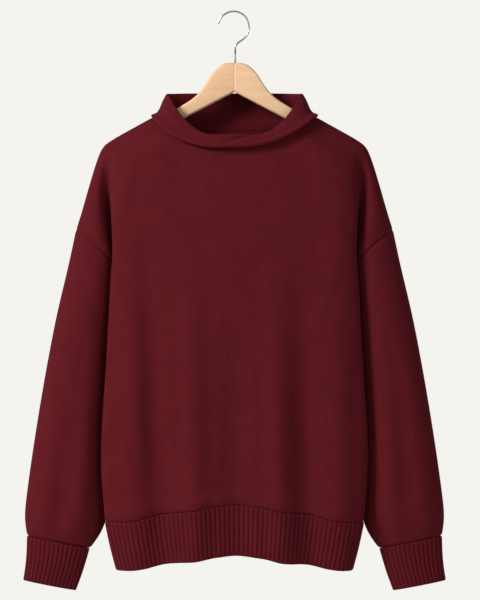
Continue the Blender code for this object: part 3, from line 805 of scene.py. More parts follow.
@dataclass(frozen=True)
class Wire:
    """Bright plated steel wire, faintly drawn along its length."""

    name: str
    colour: tuple[float, float, float]
    worn: tuple[float, float, float]
    mark_scale: tuple[float, float, float] = (700.0, 2600.0, 90.0)
    wear_scale: float = 120.0
    wear_contrast: float = 1.6
    wear_start: float = 0.4
    smoothest: float = 0.16
    mark_roughness: float = 0.16
    mark_depth: float = 0.05 * MM
    mark_strength: float = 0.25

    def material(self) -> bpy.types.Material:
        """Make the finish."""
        graph = Graph(self.name)
        place = graph.place()
        marks = graph.noise(graph.stretched(place, self.mark_scale), 1.0, 3.0)
        wear = graph.noise(place, self.wear_scale, 3.0, 0.6) * self.wear_contrast
        return graph.finish(
            Base_Color=graph.mix(graph.clamped(wear - self.wear_start), self.colour, self.worn),
            Roughness=self.smoothest + marks * self.mark_roughness,
            Metallic=1.0,
            Normal=graph.bump(marks, self.mark_depth, self.mark_strength),
        )


@dataclass(frozen=True)
class Paper:
    """Plain pale studio floor."""

    name: str
    colour: tuple[float, float, float]
    cloud_scale: float = 3.0
    darkest: float = 0.985
    roughness: float = 0.9

    def material(self) -> bpy.types.Material:
        """Make the finish."""
        graph = Graph(self.name)
        tone = graph.noise(graph.place(), self.cloud_scale, 2.0)
        darker = tuple(self.darkest * share for share in self.colour)
        colour = graph.mix(tone, self.colour, darker)
        return graph.finish(Base_Color=colour, Roughness=self.roughness)


WINE_LIGHT = (0.112, 0.0078, 0.0136)
WINE_DARK = (0.066, 0.0040, 0.0072)


def settle(
    piece: bpy.types.Object, nodes: Sequence[str]
) -> bpy.types.Object:
    """Put a finished piece on the frame in place of its solids.

    Args:
        piece: The piece.
        nodes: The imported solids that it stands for.

    Returns:
        The same piece.
    """
    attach(piece, BODY)
    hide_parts(*nodes)
    triangles = sum(len(face.vertices) - 2 for face in piece.data.polygons)
    LOG.info("%s: %d triangles", piece.name, triangles)
    return piece


@dataclass
class BodyPanel:
    """The front or back of the body with its two dropped shoulders, in one piece."""

    name: str
    facing: Facing
    neck: NeckEdge
    folds: tuple[LongFold, ...]
    creases: tuple[Crease, ...]
    wall: float = 2.4
    neck_half_width: float = 123.0
    neck_side_z: float = -157.0
    neck_spread: float = 1.1
    neck_valley_turn: float = 30.0
    body_columns: int = 56
    drop_columns: int = 32
    crowding: float = 1.2
    dense: int = 420
    yoke_rows: int = 92
    skirt_rows: int = 118
    skirt_step: float = 2.0
    fold_end_z: float = -820.0
    fold_hang: float = 0.35
    clear_from: float = 8.0
    clear_over: float = 20.0
    hang_over: float = 180.0
    crotch_depth: float = 5.3
    seam_half_width: float = 4.0
    seam_depth: float = 0.8
    blouse_height: float = 1.6
    blouse_place: float = 13.0
    blouse_half_width: float = 15.0
    waviness: float = 0.45
    slow_wave: tuple[float, float] = (31.0, 47.0)
    quick_wave: tuple[float, float, float, float] = (17.0, 39.0, 26.0, 58.0)
    wave_starts: tuple[float, float, float] = (1.3, 0.6, 2.1)
    quick_share: float = 0.5
    rim: float = 0.3

    def neck_row(self) -> Array:
        """The right half of the neck edge: body columns, then drop columns."""
        valley = 90.0 - self.neck_valley_turn
        body = np.linspace(0.0, valley, self.body_columns + 1)
        drop = np.linspace(valley, 90.0, self.drop_columns + 1)[1:]
        turn = np.concatenate([body, drop])
        angle = np.radians(turn)
        share = smoothstep(self.neck_spread * (1 - turn / 90.0))
        x = self.neck_half_width * np.sin(angle)
        y = self.facing * np.maximum(self.neck.depth * np.cos(angle), HALF_GAP)
        z = self.neck_side_z + (self.neck.centre_z - self.neck_side_z) * share
        return np.stack([x, y, z], axis=1)

    def across_body(
        self,
        centre_z: float,
        depth: float,
        edge_x: float,
        edge_depth: float,
        rises: Sequence[float],
        end: tuple[float, float, float],
    ) -> Array:
        """The right half of a row as a dense line.

        Args:
            centre_z: Height of its centre.
            depth: Depth of its centre.
            edge_x: Where the folded edge is.
            edge_depth: Depth of the folded edge.
            rises: How far each place of ACROSS is above the centre.
            end: The last point, behind the folded edge.

        Returns:
            Points from the centre over the edge to the end.
        """
        half = [
            (
                edge_x * place.reach,
                self.facing * (depth + (edge_depth - depth) * place.fall),
                centre_z + rise,
            )
            for place, rise in zip(ACROSS, rises)
        ]
        half.append(end)
        mirrored = [(-x, y, z) for x, y, z in half[:0:-1]]
        points = np.array(mirrored + half)
        along = lengths_along(points)
        middle = along[len(mirrored)]
        return natural_spline(along, points, np.linspace(middle, along[-1], self.dense))

    def body_shares(self) -> Array:
        """Places of the body columns along a row, closer together near the folded edge."""
        steps = np.arange(self.body_columns + 1) / self.body_columns
        return 1 - (1 - steps) ** self.crowding

    def depth_of(self, row: Union[YokeRow, SkirtRow]) -> float:
        """How far a row's centre stands from the middle on this panel."""
        return row.front_depth if self.facing == Facing.FRONT else row.back_depth

    def yoke_row(self, row: YokeRow) -> Array:
        """The right half of a yoke row: body columns, then drop columns to the seam."""
        centre_z = row.front_z if self.facing == Facing.FRONT else row.back_z
        rises = [(row.valley_z - centre_z) * place.yoke_rise for place in ACROSS]
        valley = (row.valley_x, self.facing * row.valley_depth, row.valley_z)
        line = self.across_body(
            centre_z, self.depth_of(row), row.edge_x, row.edge_depth, rises, valley
        )
        body = read_along(line, self.body_shares())
        angle = np.linspace(0.0, np.pi, self.drop_columns + 1)[1:]
        plain = np.sin(angle / 2)
        out = (1 - row.roundness) * plain + row.roundness * (1 - np.cos(angle)) / 2
        x = row.valley_x + (row.shoulder_x - row.valley_x) * out
        z = row.valley_z + (row.shoulder_z - row.valley_z) * out
        swell = row.drop_depth * np.abs(np.sin(angle)) ** pinch_power(angle, SLEEVE[0].pinch)
        turn_in = np.sqrt(np.maximum(1 - plain ** (1 + row.roundness), 0.0))
        y = self.facing * np.maximum(row.valley_depth * turn_in + swell, HALF_GAP)
        return np.concatenate([body, np.stack([x, y, z], axis=1)])

    def skirt_line(self, row: SkirtRow) -> Array:
        """The right half of a skirt or hem row as a dense line ending at the side seam."""
        rises = [-row.dip * place.skirt_dip for place in ACROSS]
        seam = (row.seam_x, self.facing * HALF_GAP, row.centre_z - row.dip)
        return self.across_body(
            row.centre_z, self.depth_of(row), row.edge_x, row.edge_depth, rises, seam
        )

    def fold_relief(self, x: Array, z: Array) -> Array:
        """Height that the long folds add at x and z."""
        total = np.zeros_like(x)
        for fold in self.folds:
            down = np.clip((fold.start_z - z) / (fold.start_z - self.fold_end_z), 0.0, 1.0)
            line = fold.start_x + (fold.end_x - fold.start_x) * down
            growth = smoothstep((fold.start_z - z) / (fold.start_z - fold.full_z))
            total += fold.height * growth * bell((x - line) / fold.half_width)
        return total

    def crease_relief(self, x: Array, z: Array) -> Array:
        """Height that the short creases add at x and z."""
        total = np.zeros_like(x)
        for crease in self.creases:
            run_x = crease.end_x - crease.start_x
            run_z = crease.end_z - crease.start_z
            length = math.hypot(run_x, run_z)
            along = ((x - crease.start_x) * run_x + (z - crease.start_z) * run_z) / length**2
            aside = ((x - crease.start_x) * run_z - (z - crease.start_z) * run_x) / length
            fade = bell(2 * along - 1)
            total += crease.height * fade * bell(aside / crease.half_width)
        return total

    def wave_relief(self, x: Array, z: Array) -> Array:
        """Slight unevenness that no hand-made piece is without."""
        (wide, long), (across, slant, down, lean) = self.slow_wave, self.quick_wave
        first, second, third = self.wave_starts
        slow = np.sin(x / wide + first * self.facing) * np.sin(z / long + second)
        quick = np.sin(x / across - z / slant + third) * np.sin(z / down + x / lean)
        return self.waviness * (slow + self.quick_share * quick)

    def with_folds(self, points: Array) -> Array:
        """The points pushed out and hung down by the long folds."""
        moved = points.copy()
        relief = self.fold_relief(points[..., 0], points[..., 2])
        clear = smoothstep((np.abs(points[..., 1]) - self.clear_from) / self.clear_over)
        moved[..., 1] += self.facing * relief * clear
        hang = self.fold_hang * smoothstep((SKIRT[1].centre_z - points[..., 2]) / self.hang_over)
        moved[..., 2] -= relief * clear * hang
        return moved

    @staticmethod
    def mirrored(rows: Array) -> Array:
        """Whole rows from their right halves, left end first."""
        left = rows[..., :0:-1, :] * MIRROR
        return np.concatenate([left, rows], axis=-2)

    def surface(self) -> Array:
        """Points of the outer face, row by row from the neck to the hem band."""
        yoke = [self.neck_row()] + [self.yoke_row(row) for row in YOKE]
        skirt = [read_along(self.skirt_line(row), self.body_shares()) for row in SKIRT]
        last_yoke = len(yoke) - 1.0
        yoke_knots = list(range(len(yoke)))
        knots = yoke_knots + [last_yoke + self.skirt_step * (k + 1) for k in range(len(skirt))]
        yoke_places = np.linspace(0.0, last_yoke, self.yoke_rows)
        skirt_places = np.linspace(last_yoke, knots[-1], self.skirt_rows + 1)[1:]
        stations = [row[: self.body_columns + 1] for row in yoke] + skirt
        places = np.concatenate([yoke_places, skirt_places])
        body = natural_spline(knots, np.array(stations), places)
        drop_stations = np.array([row[self.body_columns + 1:] for row in yoke])
        drop = natural_spline(yoke_knots, drop_stations, yoke_places)
        drop[:, -1, 1] = self.facing * HALF_GAP
        body[self.yoke_rows - 1:, -1, 1] = self.facing * HALF_GAP
        absent = np.full((self.skirt_rows, self.drop_columns, 3), np.nan)
        half = np.concatenate([body, np.concatenate([drop, absent])], axis=1)
        half[..., 1] = self.facing * np.maximum(self.facing * half[..., 1], HALF_GAP)
        return self.with_folds(self.mirrored(half))

    def flat_of(self, points: Array) -> tuple[Array, Array, Array]:
        """Measure the cloth of a surface.

        Args:
            points: The surface, row by row.

        Returns:
            Metres on the cut, and millimetres down from the top and in from the row's end.
        """
        middle = points.shape[1] // 2
        across = np.hypot(np.diff(points[..., 0], axis=1), np.diff(points[..., 1], axis=1))
        over = np.concatenate([np.zeros((len(points), 1)), np.nancumsum(across, axis=1)], axis=1)
        over = over - over[:, middle:middle + 1]
        down_steps = np.hypot(np.diff(points[..., 1], axis=0), np.diff(points[..., 2], axis=0))
        down = np.concatenate([np.zeros((1, points.shape[1])), np.nancumsum(down_steps, axis=0)])
        start = -points[0, :, 2]
        flat = np.stack([over, start + down], axis=-1) * MM
        inward = np.nanmax(np.where(np.isnan(points[..., 0]), np.nan, over), axis=1)[:, None]
        return flat, down, inward - np.abs(over)

    def build(self, material: bpy.types.Material) -> bpy.types.Object:
        """Make the panel.

        Args:
            material: The finish.

        Returns:
            The panel's object.
        """
        points = self.surface()
        flat, down, inward = self.flat_of(points)
        weave = Weave(points, flat)
        outward = self._outward_normals(weave)
        below = down[-1] - down
        clear = smoothstep((np.abs(points[..., 1]) - self.clear_from) / self.clear_over)
        relief = self.crease_relief(points[..., 0], points[..., 2])
        relief = (relief + self.wave_relief(points[..., 0], points[..., 2])) * clear
        seams = np.minimum(np.minimum(down, below), np.maximum(inward, 0.0))
        relief = relief - self.seam_depth * bell(seams / self.seam_half_width)
        blouse = bell((below - self.blouse_place) / self.blouse_half_width) * clear
        relief = relief + self.blouse_height * blouse * (np.abs(points[..., 0]) < SKIRT[-1].edge_x)
        weave.points = points + relief[..., None] * outward
        weave.points[..., 1] = self.facing * np.maximum(
            self.facing * weave.points[..., 1], HALF_GAP
        )
        inner = weave.points - self.wall * self._squared(self._outward_normals(weave))
        inner[..., 1] = self.facing * np.maximum(self.facing * inner[..., 1], HALF_GAP)
        underarm = self.yoke_rows - 1
        for column in (self.drop_columns, points.shape[1] - 1 - self.drop_columns):
            inner[underarm, column] = weave.points[underarm, column] + (0, 0, self.crotch_depth)
        order = slice(None, None, -1) if self._turned(weave) else slice(None)
        faced = Weave(weave.points[:, order], weave.flat[:, order])
        rim = np.full(points.shape[:2], self.rim)
        cloth = Cloth(self.name, faced, inner[:, order], rim)
        return cloth.build(np.ones(points.shape[:2]), material)

    def _turned(self, weave: Weave) -> bool:
        """Whether the grid's own normals point into the garment."""
        middle = weave.points.shape[1] // 2
        return weave.normals()[self.yoke_rows, middle, 1] * self.facing < 0

    def _outward_normals(self, weave: Weave) -> Array:
        """Unit normals out of the garment."""
        normals = weave.normals()
        return -normals if self._turned(weave) else normals

    def _squared(self, normals: Array) -> Array:
        """The normals kept square to each seam, so that both faces end in its plane."""
        top = self.yoke_rows
        kept = normals.copy()
        for column in (0, -1):
            kept[:top, column] = without_share(kept[:top, column], FORWARD)
        for column in (self.drop_columns, normals.shape[1] - 1 - self.drop_columns):
            kept[top:, column] = without_share(kept[top:, column], FORWARD)
        kept[-1] = without_share(kept[-1], UPRIGHT)
        armhole = sleeve_axis(SLEEVE[0])
        for side, columns in (
            (Side.LEFT, slice(0, self.drop_columns)),
            (Side.RIGHT, slice(normals.shape[1] - self.drop_columns, None)),
        ):
            direction = armhole * np.array([side, 1.0, 1.0])
            kept[top - 1, columns] = without_share(kept[top - 1, columns], direction)
        return kept


@dataclass
class RibBand:
    """Ribs of a hem band or cuff: their number, shape and wall."""

    ribs: int
    points_per_rib: int = 10
    height: float = 1.5
    roundness: float = 0.6
    wall: float = 3.0
    reverse_share: float = 0.6
    rows: int = 26
    edge_round: float = 1.1
    seam_fade: float = 0.06
    seam_height: float = 0.45
    edge_fade: float = 0.04
    edge_flattening: float = 0.35

    def columns(self) -> int:
        """Points across all the ribs."""
        return self.ribs * self.points_per_rib

    def profile(self, columns: int) -> Array:
        """0 in the grooves to 1 on the ridges, at each point across."""
        place = (np.arange(columns) % self.points_per_rib) / self.points_per_rib
        return np.abs(np.sin(np.pi * place)) ** self.roundness

    def lift(self, columns: int) -> Array:
        """How far each point stands out, row by row, with ribs that start at the seam."""
        down = np.linspace(0.0, 1.0, self.rows)[:, None]
        growth = self.seam_height + (1 - self.seam_height) * smoothstep(down / self.seam_fade)
        ending = smoothstep((down - (1 - self.edge_fade)) / self.edge_fade)
        growth = growth * (1 - self.edge_flattening * ending)
        return self.height * growth * (self.profile(columns)[None, :] - 0.5)

    def faces(self, points: Array, normals: Array) -> tuple[Array, Array]:
        """Outer and inner points of the ribs on a middle surface."""
        lift = self.lift(points.shape[1])[..., None]
        base = self.wall - self.height / 2
        return points + lift * normals, points - (base + lift * self.reverse_share) * normals

    def rims(self, shape: tuple[int, int]) -> Array:
        """How far the edges of the band are rounded out."""
        rim = np.full(shape, SEAM_RIM)
        rim[-1] = self.edge_round
        return rim


@dataclass
class HemBand:
    """A ribbed hem band from side seam to side seam."""

    name: str
    panel: BodyPanel
    band: RibBand
    seam_gap: float = 0.4

    def surface(self) -> Array:
        """Points of the band's middle line, row by row."""
        places = np.linspace(0.0, len(HEM) - 1.0, self.band.rows)
        rows = [
            SkirtRow(*row) for row in natural_spline(np.arange(len(HEM)), np.array(HEM), places)
        ]
        shares = np.linspace(0.0, 1.0, self.band.columns() + 1)
        lines = []
        for row in rows:
            whole = self.panel.with_folds(self.panel.mirrored(self.panel.skirt_line(row)))
            lines.append(read_along(whole, shares))
        points = np.array(lines)
        points[0, :, 2] -= self.seam_gap
        return points

    def build(self, material: bpy.types.Material) -> bpy.types.Object:
        """Make the band.

        Args:
            material: The finish.

        Returns:
            The band's object.
        """
        points = self.surface()
        facing = self.panel.facing
        flat, _, _ = self.panel.flat_of(points)
        weave = Weave(points, flat)
        normals = weave.normals()
        turned = normals[1, points.shape[1] // 2, 1] * facing < 0
        normals = -normals if turned else normals
        normals = without_share(normals, UPRIGHT)
        for column in (0, -1):
            normals[:, column] = without_share(normals[:, column], FORWARD)
        outer, inner = self.band.faces(points, normals)
        for face in (outer, inner):
            face[..., 1] = facing * np.maximum(facing * face[..., 1], HALF_GAP)
        rim = self.band.rims(points.shape[:2])
        shade = np.broadcast_to(self.band.profile(points.shape[1]), points.shape[:2])
        order = slice(None, None, -1) if turned else slice(None)
        weave = Weave(outer[:, order], flat[:, order])
        cloth = Cloth(self.name, weave, inner[:, order], rim)
        return cloth.build(shade[:, order], material)


@dataclass
class Sleeve:
    """A sleeve as a flattened tube from the armhole seam to the cuff."""

    name: str
    side: Side
    folds: tuple[SleeveFold, ...]
    rings: int = 150
    half_columns: int = 32
    wall: float = 2.4
    seam_gap: float = 0.2
    seam_half_width: float = 5.0
    seam_depth: float = 1.4
    end_fade: float = 8.0
    waviness: float = 0.4
    slow_wave: tuple[float, float] = (9.0, 11.0)
    quick_wave: tuple[float, float, float] = (23.0, 3.0, 2.0)

    @staticmethod
    def ring_of(station: SleeveStation, angles: Array) -> Array:
        """Points round one ring.

        Args:
            station: The ring's place and size.
            angles: Turns from the inner edge, over the front, to the back.

        Returns:
            Points on the right side.
        """
        out = (1 - np.cos(angles)) / 2
        half_turn = np.minimum(angles, 2 * np.pi - angles)
        depth = station.depth * np.abs(np.sin(half_turn)) ** pinch_power(half_turn, station.pinch)
        x = station.inner_x + (station.outer_x - station.inner_x) * out
        z = station.inner_z + (station.outer_z - station.inner_z) * out
        facing = np.where(angles < np.pi, Facing.FRONT, Facing.BACK)
        return np.stack([x, facing * depth, z], axis=1)

    def fold_relief(self, angles: Array, along: Array) -> Array:
        """Height that the folds add, ring by ring."""
        across = (1 - np.cos(angles))[None, :] / 2
        back = (angles > np.pi)[None, :]
        down = along[:, None]
        total = np.zeros((len(along), len(angles)))
        for fold in self.folds:
            line = fold.across + fold.lean * (down - fold.along)
            total += (
                fold.height
                * bell((across - line) / fold.half_width)
                * bell((down - fold.along) / fold.half_length)
            )
        (wide, long), (short, lean, behind) = self.slow_wave, self.quick_wave
        slow = np.sin(wide * across + long * down)
        total += self.waviness * slow * np.sin(short * down + lean * across + behind * back)
        ends = smoothstep(self.end_fade * down) * smoothstep(self.end_fade * (1 - down))
        return total * ends * np.sin(angles)[None, :] ** 2

    def build(self, material: bpy.types.Material) -> bpy.types.Object:
        """Make the sleeve.

        Args:
            material: The finish.

        Returns:
            The sleeve's object.
        """
        knots = np.arange(len(SLEEVE))
        places = np.linspace(0.0, knots[-1], self.rings)
        stations = [SleeveStation(*row) for row in natural_spline(knots, np.array(SLEEVE), places)]
        angles = np.arange(2 * self.half_columns) * np.pi / self.half_columns
        points = np.array([self.ring_of(station, angles) for station in stations])
        points[0] += self.seam_gap * sleeve_axis(SLEEVE[0])
        flat, down = tube_flat(points)
        weave = Weave(points, flat, closed=True)
        normals = outward_of_tube(weave)
        relief = self.fold_relief(angles, places / knots[-1])
        ends = np.minimum(down, down[-1] - down)
        relief = relief - self.seam_depth * bell(ends / self.seam_half_width)
        weave.points = points + relief[..., None] * normals
        shade = np.ones(points.shape[:2])
        axes = (sleeve_axis(SLEEVE[0]), sleeve_axis(SLEEVE[-1]))
        rim = np.full(points.shape[:2], SEAM_RIM)
        inner = weave.points - self.wall * square_ends(outward_of_tube(weave), axes)
        return tube_object(self.name, self.side, weave, inner, rim, shade, material)


@dataclass
class Cuff:
    """A ribbed cuff as a narrowing tube."""

    name: str
    side: Side
    band: RibBand
    dense: int = 720
    seam_gap: float = 0.3

    def build(self, material: bpy.types.Material) -> bpy.types.Object:
        """Make the cuff.

        Args:
            material: The finish.

        Returns:
            The cuff's object.
        """
        knots = np.arange(len(CUFF))
        places = np.linspace(0.0, knots[-1], self.band.rows)
        stations = [SleeveStation(*row) for row in natural_spline(knots, np.array(CUFF), places)]
        angles = np.linspace(0.0, 2 * np.pi, self.dense, endpoint=False)
        columns = self.band.columns()
        rings = []
        for station in stations:
            ring = Sleeve.ring_of(station, angles)
            closed = np.concatenate([ring, ring[:1]])
            rings.append(read_along(closed, np.arange(columns) / columns))
        points = np.array(rings)
        points[0] += self.seam_gap * sleeve_axis(SLEEVE[-1])
        flat, _ = tube_flat(points)
        weave = Weave(points, flat, closed=True)
        normals = outward_of_tube(weave)
        normals = np.array(
            [without_share(row, sleeve_axis(station)) for row, station in zip(normals, stations)]
        )
        weave.points, inner = self.band.faces(points, normals)
        rim = self.band.rims(points.shape[:2])
        shade = np.broadcast_to(self.band.profile(columns), points.shape[:2])
        return tube_object(self.name, self.side, weave, inner, rim, shade, material)


def tube_flat(points: Array) -> tuple[Array, Array]:
    """Measure the cloth of a tube.

    Args:
        points: Rings of points.

    Returns:
        Metres on the cut, with the first column repeated, and millimetres down the tube.
    """
    closed = np.concatenate([points, points[:, :1]], axis=1)
    across = np.linalg.norm(np.diff(closed, axis=1), axis=2)
    over = np.concatenate([np.zeros((len(points), 1)), np.cumsum(across, axis=1)], axis=1)
    over = over - over[:, -1:] / 2
    steps = np.linalg.norm(np.diff(closed, axis=0), axis=2)
    down = np.concatenate([np.zeros((1, closed.shape[1])), np.cumsum(steps, axis=0)])
    return np.stack([over, down], axis=-1) * MM, down[:, :-1]


def outward_of_tube(weave: Weave) -> Array:
    """Unit normals out of a tube."""
    normals = weave.normals()
    middle = len(weave.points) // 2
    away = weave.points[middle] - weave.points[middle].mean(axis=0)
    return -normals if (normals[middle] * away).sum() < 0 else normals


def square_ends(normals: Array, axes: tuple[Array, Array]) -> Array:
    """A tube's normals kept square to its axis at both ends."""
    kept = normals.copy()
    kept[0] = without_share(kept[0], axes[0])
    kept[-1] = without_share(kept[-1], axes[1])
    return kept


def tube_object(
    name: str,
    side: Side,
    weave: Weave,
    inner: Array,
    rim: Array,
    shade: Array,
    material: bpy.types.Material,
) -> bpy.types.Object:
    """Make a tube of cloth on its side of the garment.

    Args:
        name: Name of the piece.
        side: The side; tubes are worked out on the right.
        weave: The outer face.
        inner: Points of the inner face.
        rim: How far each edge is rounded out.
        shade: The relief that the material reads; a rib material paints shade into the grooves from
            it.
        material: The finish.

    Returns:
        The tube's object.
    """
    raw = weave.normals()
    inward = (raw * outward_of_tube(weave)).sum() < 0
    if side == Side.LEFT:
        weave = Weave(weave.points * MIRROR, weave.flat, closed=True)
        inner = inner * MIRROR
        inward = not inward
    if inward:
        weave = Weave(weave.points[::-1], weave.flat[::-1], closed=True)
        inner, rim, shade = inner[::-1], rim[::-1], shade[::-1]
    return Cloth(name, weave, inner, rim).build(shade, material)


@dataclass
class Collar:
    """The funnel neck: a double layer, slumped over its own seam at the front."""

    name: str
    creases: tuple[tuple[CollarCrease, ...], ...]
    turns: int = 360
    ring_steps: int = 11
    waviness: float = 0.35
    waves: tuple[tuple[float, float, float], ...] = ((5, 0.8, 1.0), (11, 2.0, 0.5))
    outside_ring: float = 4.5
    outside_width: float = 4.0
    crease_fade: float = 5.0

    def ring(self, ring: CollarRing, turns: Array) -> Array:
        """Points round one ring; 0 is the front, 90 the right and 180 the back."""
        angle = np.radians(turns)
        front = np.cos(angle) > 0
        reach = np.sign(np.sin(angle)) * np.abs(np.sin(angle)) ** ring.fullness
        depth = np.abs(np.cos(angle)) ** ring.fullness
        from_centre = np.abs(np.where(np.abs(turns) > 90, 180 - np.abs(turns), turns))
        share = smoothstep(ring.spread * (1 - from_centre / 90.0))
        y = np.where(front, -ring.front_y, ring.back_y) * depth
        centre_z = np.where(front, ring.front_z, ring.back_z)
        z = ring.side_z + (centre_z - ring.side_z) * share
        z = z + np.where(front, ring.sway * np.sin(2 * angle), 0.0)
        return np.stack([ring.half_width * reach, y, z], axis=1)

    def crease_relief(self, turns: Array, rings: Array) -> Array:
        """Depth of the listed creases, ring by ring."""
        total = np.zeros((len(rings), len(turns)))
        for crease in self.creases:
            table = np.array(crease)
            line = np.interp(turns, table[:, 0], table[:, 1])
            depth = np.interp(turns, table[:, 0], table[:, 2])
            width = np.interp(turns, table[:, 0], table[:, 3])
            first, last = table[0, 0], table[-1, 0]
            ends = smoothstep((turns - first) / self.crease_fade)
            ends = ends * smoothstep((last - turns) / self.crease_fade)
            total += ends * depth * bell((rings[:, None] - line[None, :]) / width[None, :])
        return total

    def build(self, material: bpy.types.Material) -> bpy.types.Object:
        """Make the collar.

        Args:
            material: The finish.

        Returns:
            The collar's object.
        """
        turns = np.linspace(-180.0, 180.0, self.turns, endpoint=False)
        knots = np.arange(len(COLLAR) + 1)
        looped = np.array(list(COLLAR) + [COLLAR[0]])
        rings = np.linspace(0.0, len(COLLAR), len(COLLAR) * self.ring_steps + 1)[:-1]
        rows = [self.ring(CollarRing(*row), turns) for row in natural_spline(knots, looped, rings)]
        points = np.array(rows)
        points = np.concatenate([points, points[:1]])
        rings = np.append(rings, rings[0])
        flat, _ = tube_flat(points)
        weave = Weave(points, flat, closed=True)
        normals = self._outward(weave)
        relief = -self.crease_relief(turns, rings)
        wave = sum(
            share * np.sin(np.radians(turns) * count + start) for count, start, share in self.waves
        )
        outside = bell((rings - self.outside_ring) / self.outside_width)
        relief = relief + self.waviness * outside[:, None] * wave[None, :]
        relief[-1] = relief[0]
        weave.points = points + relief[..., None] * normals
        return self._closed_object(weave, material)

    @staticmethod
    def _outward(weave: Weave) -> Array:
        """Unit normals out of the collar's own wall, the same in its first and last row."""
        normals = weave.normals()
        ends = unit(normals[0] + normals[-1])
        normals[0] = ends
        normals[-1] = ends
        middle = len(weave.points) // 2
        return -normals if normals[middle, 0, 1] < 0 and normals[middle, 0, 2] < 0 else normals

    def _closed_object(self, weave: Weave, material: bpy.types.Material) -> bpy.types.Object:
        """A closed mesh from a weave whose last row lies on its first."""
        corners, flats = weave.quads()
        rows, columns = weave.points.shape[:2]
        corners = corners % ((rows - 1) * columns)
        points = weave.points[:-1].reshape(-1, 3)
        a, b, c = (points[corners[:, k]] for k in range(3))
        volume = (a * np.cross(b, c)).sum()
        if volume < 0:
            corners, flats = corners[:, ::-1], flats[:, ::-1]
        made = mesh_object(self.name, points * MM, corners, material)
        layer = made.data.uv_layers.new(name=Cloth.FLAT)
        flat = weave.flat.reshape(-1, 2)
        layer.data.foreach_set("uv", flat[flats.ravel()].astype(np.float32).ravel())
        relief = made.data.attributes.new(Cloth.RELIEF, "FLOAT", "POINT")
        relief.data.foreach_set("value", np.ones(len(points), np.float32))
        return made


@dataclass
class HangerHalf:
    """One wooden half of the hanger, rounded along its edges."""

    name: str
    side: Side
    top: tuple[tuple[float, float], ...] = (
        (0.0, -76.0),
        (14.0, -76.8),
        (25.0, -83.0),
        (34.5, -93.5),
        (44.0, -108.5),
        (54.5, -122.0),
        (68.5, -133.5),
        (84.5, -143.2),
    )
    slope: float = 0.53
    arm_top_end: float = 178.0
    foot: float = -119.6
    tip_foot: tuple[float, float] = (183.0, -216.2)
    nose_top: tuple[tuple[float, float], ...] = ((184.6, -197.0), (187.6, -202.5), (188.5, -208.6))
    nose_foot: tuple[tuple[float, float], ...] = ((185.6, -215.7), (187.4, -214.3), (188.5, -209.2))
    thickness: float = 14.0
    corner: float = 4.2
    corner_steps: int = 7
    sections: int = 96
    joint: float = 0.15
    joint_round: float = 0.5
    sharp_degrees: float = 60.0

    def edges(self) -> tuple[Array, Array]:
        """Matched points on the top and the bottom of the outline.

        Returns:
            X and Z of each, from the joint to the nose.
        """
        table = np.array(self.top)
        last = table[-1]
        end_z = last[1] - self.slope * (self.arm_top_end - last[0])
        x = np.linspace(0.0, self.tip_foot[0], self.sections)
        curve = natural_spline(table[:, 0], table[:, 1:], np.clip(x, 0.0, last[0]))[:, 0]
        line = last[1] - self.slope * (x - last[0])
        nose = end_z + (self.nose_top[0][1] - end_z) * (x - self.arm_top_end) / (
            self.nose_top[0][0] - self.arm_top_end
        )
        top_z = np.where(x < last[0], curve, np.where(x < self.arm_top_end, line, nose))
        foot_z = self.foot + (self.tip_foot[1] - self.foot) * x / self.tip_foot[0]
        top = np.concatenate([np.stack([x, top_z], axis=1), self.nose_top])
        foot = np.concatenate([np.stack([x, foot_z], axis=1), self.nose_foot])
        return top, foot

    def section(self, height: float) -> Array:
        """A rounded rectangle, as shares of a half height and millimetres of depth."""
        corner = min(self.corner, height / 2)
        turn = np.linspace(0.0, np.pi / 2, self.corner_steps)
        half_depth = self.thickness / 2
        quarter = np.stack(
            [
                (height / 2 - corner + corner * np.sin(turn)) / (height / 2),
                half_depth - corner + corner * np.cos(turn),
            ],
            axis=1,
        )
        back = quarter[::-1] * np.array([1.0, -1.0])
        half = np.concatenate([quarter, back])
        return np.concatenate([half, half[::-1] * np.array([-1.0, 1.0])])

    def build(self, material: bpy.types.Material) -> bpy.types.Object:
        """Make the half.

        Args:
            material: The finish.

        Returns:
            The half's object.
        """
        top, foot = self.edges()
        top[:, 0] = np.maximum(top[:, 0], self.joint + self.joint_round)
        foot[:, 0] = np.maximum(foot[:, 0], self.joint + self.joint_round)
        rings = []
        for upper, lower in zip(top, foot):
            middle = (upper + lower) / 2
            half = (upper - lower) / 2
            shape = self.section(2 * float(np.linalg.norm(half)))
            x = middle[0] + half[0] * shape[:, 0]
            z = middle[1] + half[1] * shape[:, 0]
            rings.append(np.stack([x, shape[:, 1], z], axis=1))
        first = rings[0].copy()
        centre = first.mean(axis=0)
        first = centre + (first - centre) * (1 - self.joint_round / self.thickness)
        first[:, 0] = self.joint
        points = np.array([first] + rings)
        faces = capped_faces(points)
        flat = points.reshape(-1, 3)
        if self.side == Side.LEFT:
            flat = flat * MIRROR
        made = polygon_object(self.name, flat * MM, faces, material)
        made.data.set_sharp_from_angle(angle=math.radians(self.sharp_degrees))
        return made


def capped_faces(points: Array) -> list[list[int]]:
    """Faces of a tube of point rings, closed at both ends."""
    rings, count = points.shape[:2]
    faces = [list(quad) for quad in Weave(points, points[..., :2], closed=True).quads()[0]]
    faces.append(list(range(count))[::-1])
    faces.append([(rings - 1) * count + k for k in range(count)])
    return faces


